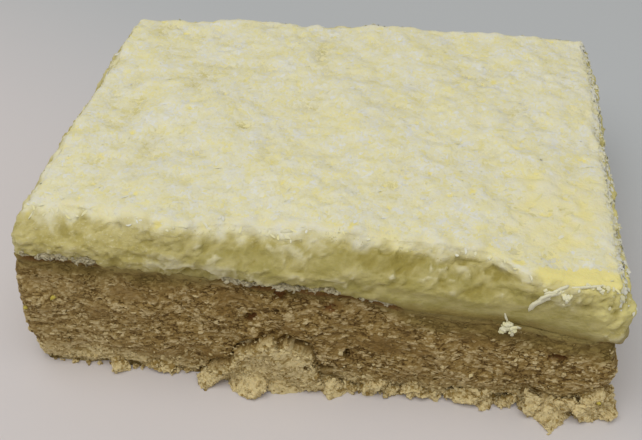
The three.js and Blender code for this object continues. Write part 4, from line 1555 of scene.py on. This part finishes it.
def looking(azimuth, elevation, roll):
    """The axes (right, up, back) of a camera at an azimuth and elevation round the bar, rolled about
    its view."""
    azimuth, elevation, roll = np.radians((azimuth, elevation, roll))
    level_way = np.array((np.sin(azimuth), -np.cos(azimuth), 0))
    back = np.cos(elevation) * level_way + np.array((0, 0, np.sin(elevation)))
    right = np.cross(-back, (0, 0, 1))
    right /= np.linalg.norm(right)
    up = np.cross(back, right)
    turned_right = np.cos(roll) * right + np.sin(roll) * up
    turned_up = np.cos(roll) * up - np.sin(roll) * right
    return turned_right, turned_up, back


def placed(made, axes, place):
    """An object turned to its axes (right, up, back) and put at a place in millimetres."""
    turn = Matrix(np.array(axes).T.tolist()).to_4x4()
    made.matrix_world = Matrix.Translation(np.array(place) * MM) @ turn
    bpy.context.scene.collection.objects.link(made)


def add_light(name, azimuth, elevation, distance, size, power, colour):
    """A square soft light that faces the middle of the bar."""
    lamp = bpy.data.lights.new(name, "AREA")
    lamp.size = size
    lamp.energy = power
    lamp.color = colour
    axes = looking(azimuth, elevation, 0)
    placed(bpy.data.objects.new(name, lamp), axes, axes[2] * distance)


def add_world(strength, colour):
    """Even light from all round."""
    world = bpy.data.worlds.new("studio")
    world.use_nodes = True
    world.node_tree.nodes["Background"].inputs["Color"].default_value = (*colour, 1)
    world.node_tree.nodes["Background"].inputs["Strength"].default_value = strength
    bpy.context.scene.world = world


def add_camera():
    """The photograph's view: 40 degrees above the floor and 8 degrees round from the front cut."""
    lens = bpy.data.cameras.new("camera")
    lens.sensor_width = SENSOR
    lens.lens = SENSOR * LENS_PIXELS / PICTURE_PIXELS
    lens.clip_start = 0.01
    axes = looking(*VIEW)
    camera = bpy.data.objects.new("camera", lens)
    placed(camera, axes, np.array(TARGET) + axes[2] * CAMERA_DISTANCE)
    bpy.context.scene.camera = camera


add_camera()
add_world(strength=0.31, colour=(1.0, 0.99, 0.97))
add_light(
    "window", azimuth=342, elevation=71, distance=900, size=1.0, power=6.2, colour=(1.0, 0.99, 0.96)
)
bpy.context.scene.view_settings.view_transform = "Standard"

MOTTLE = mottle_group()
CRUMB = crumb_material(MOTTLE, flake_group())
ICING = icing_material(MOTTLE)
COCONUT = coconut_material(MOTTLE)
add_floor(floor_material(MOTTLE))

base_points, base_normals, base_faces, base_values = base_surface()
base = piece("dressed_base", base_points, base_faces, CRUMB, "crumb_base", **base_values)
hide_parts("crumb_base")
base_cuts = (base_points, base_normals, normals_of(base_points, base_faces)[1])
clinging = foot_crumbs(CRUMB)
for kind in PRESSED_BITS:
    pressed_bits(*kind, base_cuts, CRUMB)
loose_bits(base_cuts, clinging, CRUMB)
add_zest(zest_material(MOTTLE))

icing_points, icing_faces, iced_values = icing_surface()
icing = piece("dressed_icing", icing_points, icing_faces, ICING, "lemon_icing", **iced_values)
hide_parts("lemon_icing")
iced = (icing_points, *normals_of(icing_points, icing_faces))
add_coconut(iced, COCONUT)
add_wisps(iced, COCONUT)
add_ledges(CRUMB)
add_clots(COCONUT)
add_strands("strands", STRANDS, COCONUT, "coconut", tint=0.6)
add_strands("pale_flakes", PALE_FLAKES, CRUMB, "crumb_base", tone=0.9, pale=1.0)
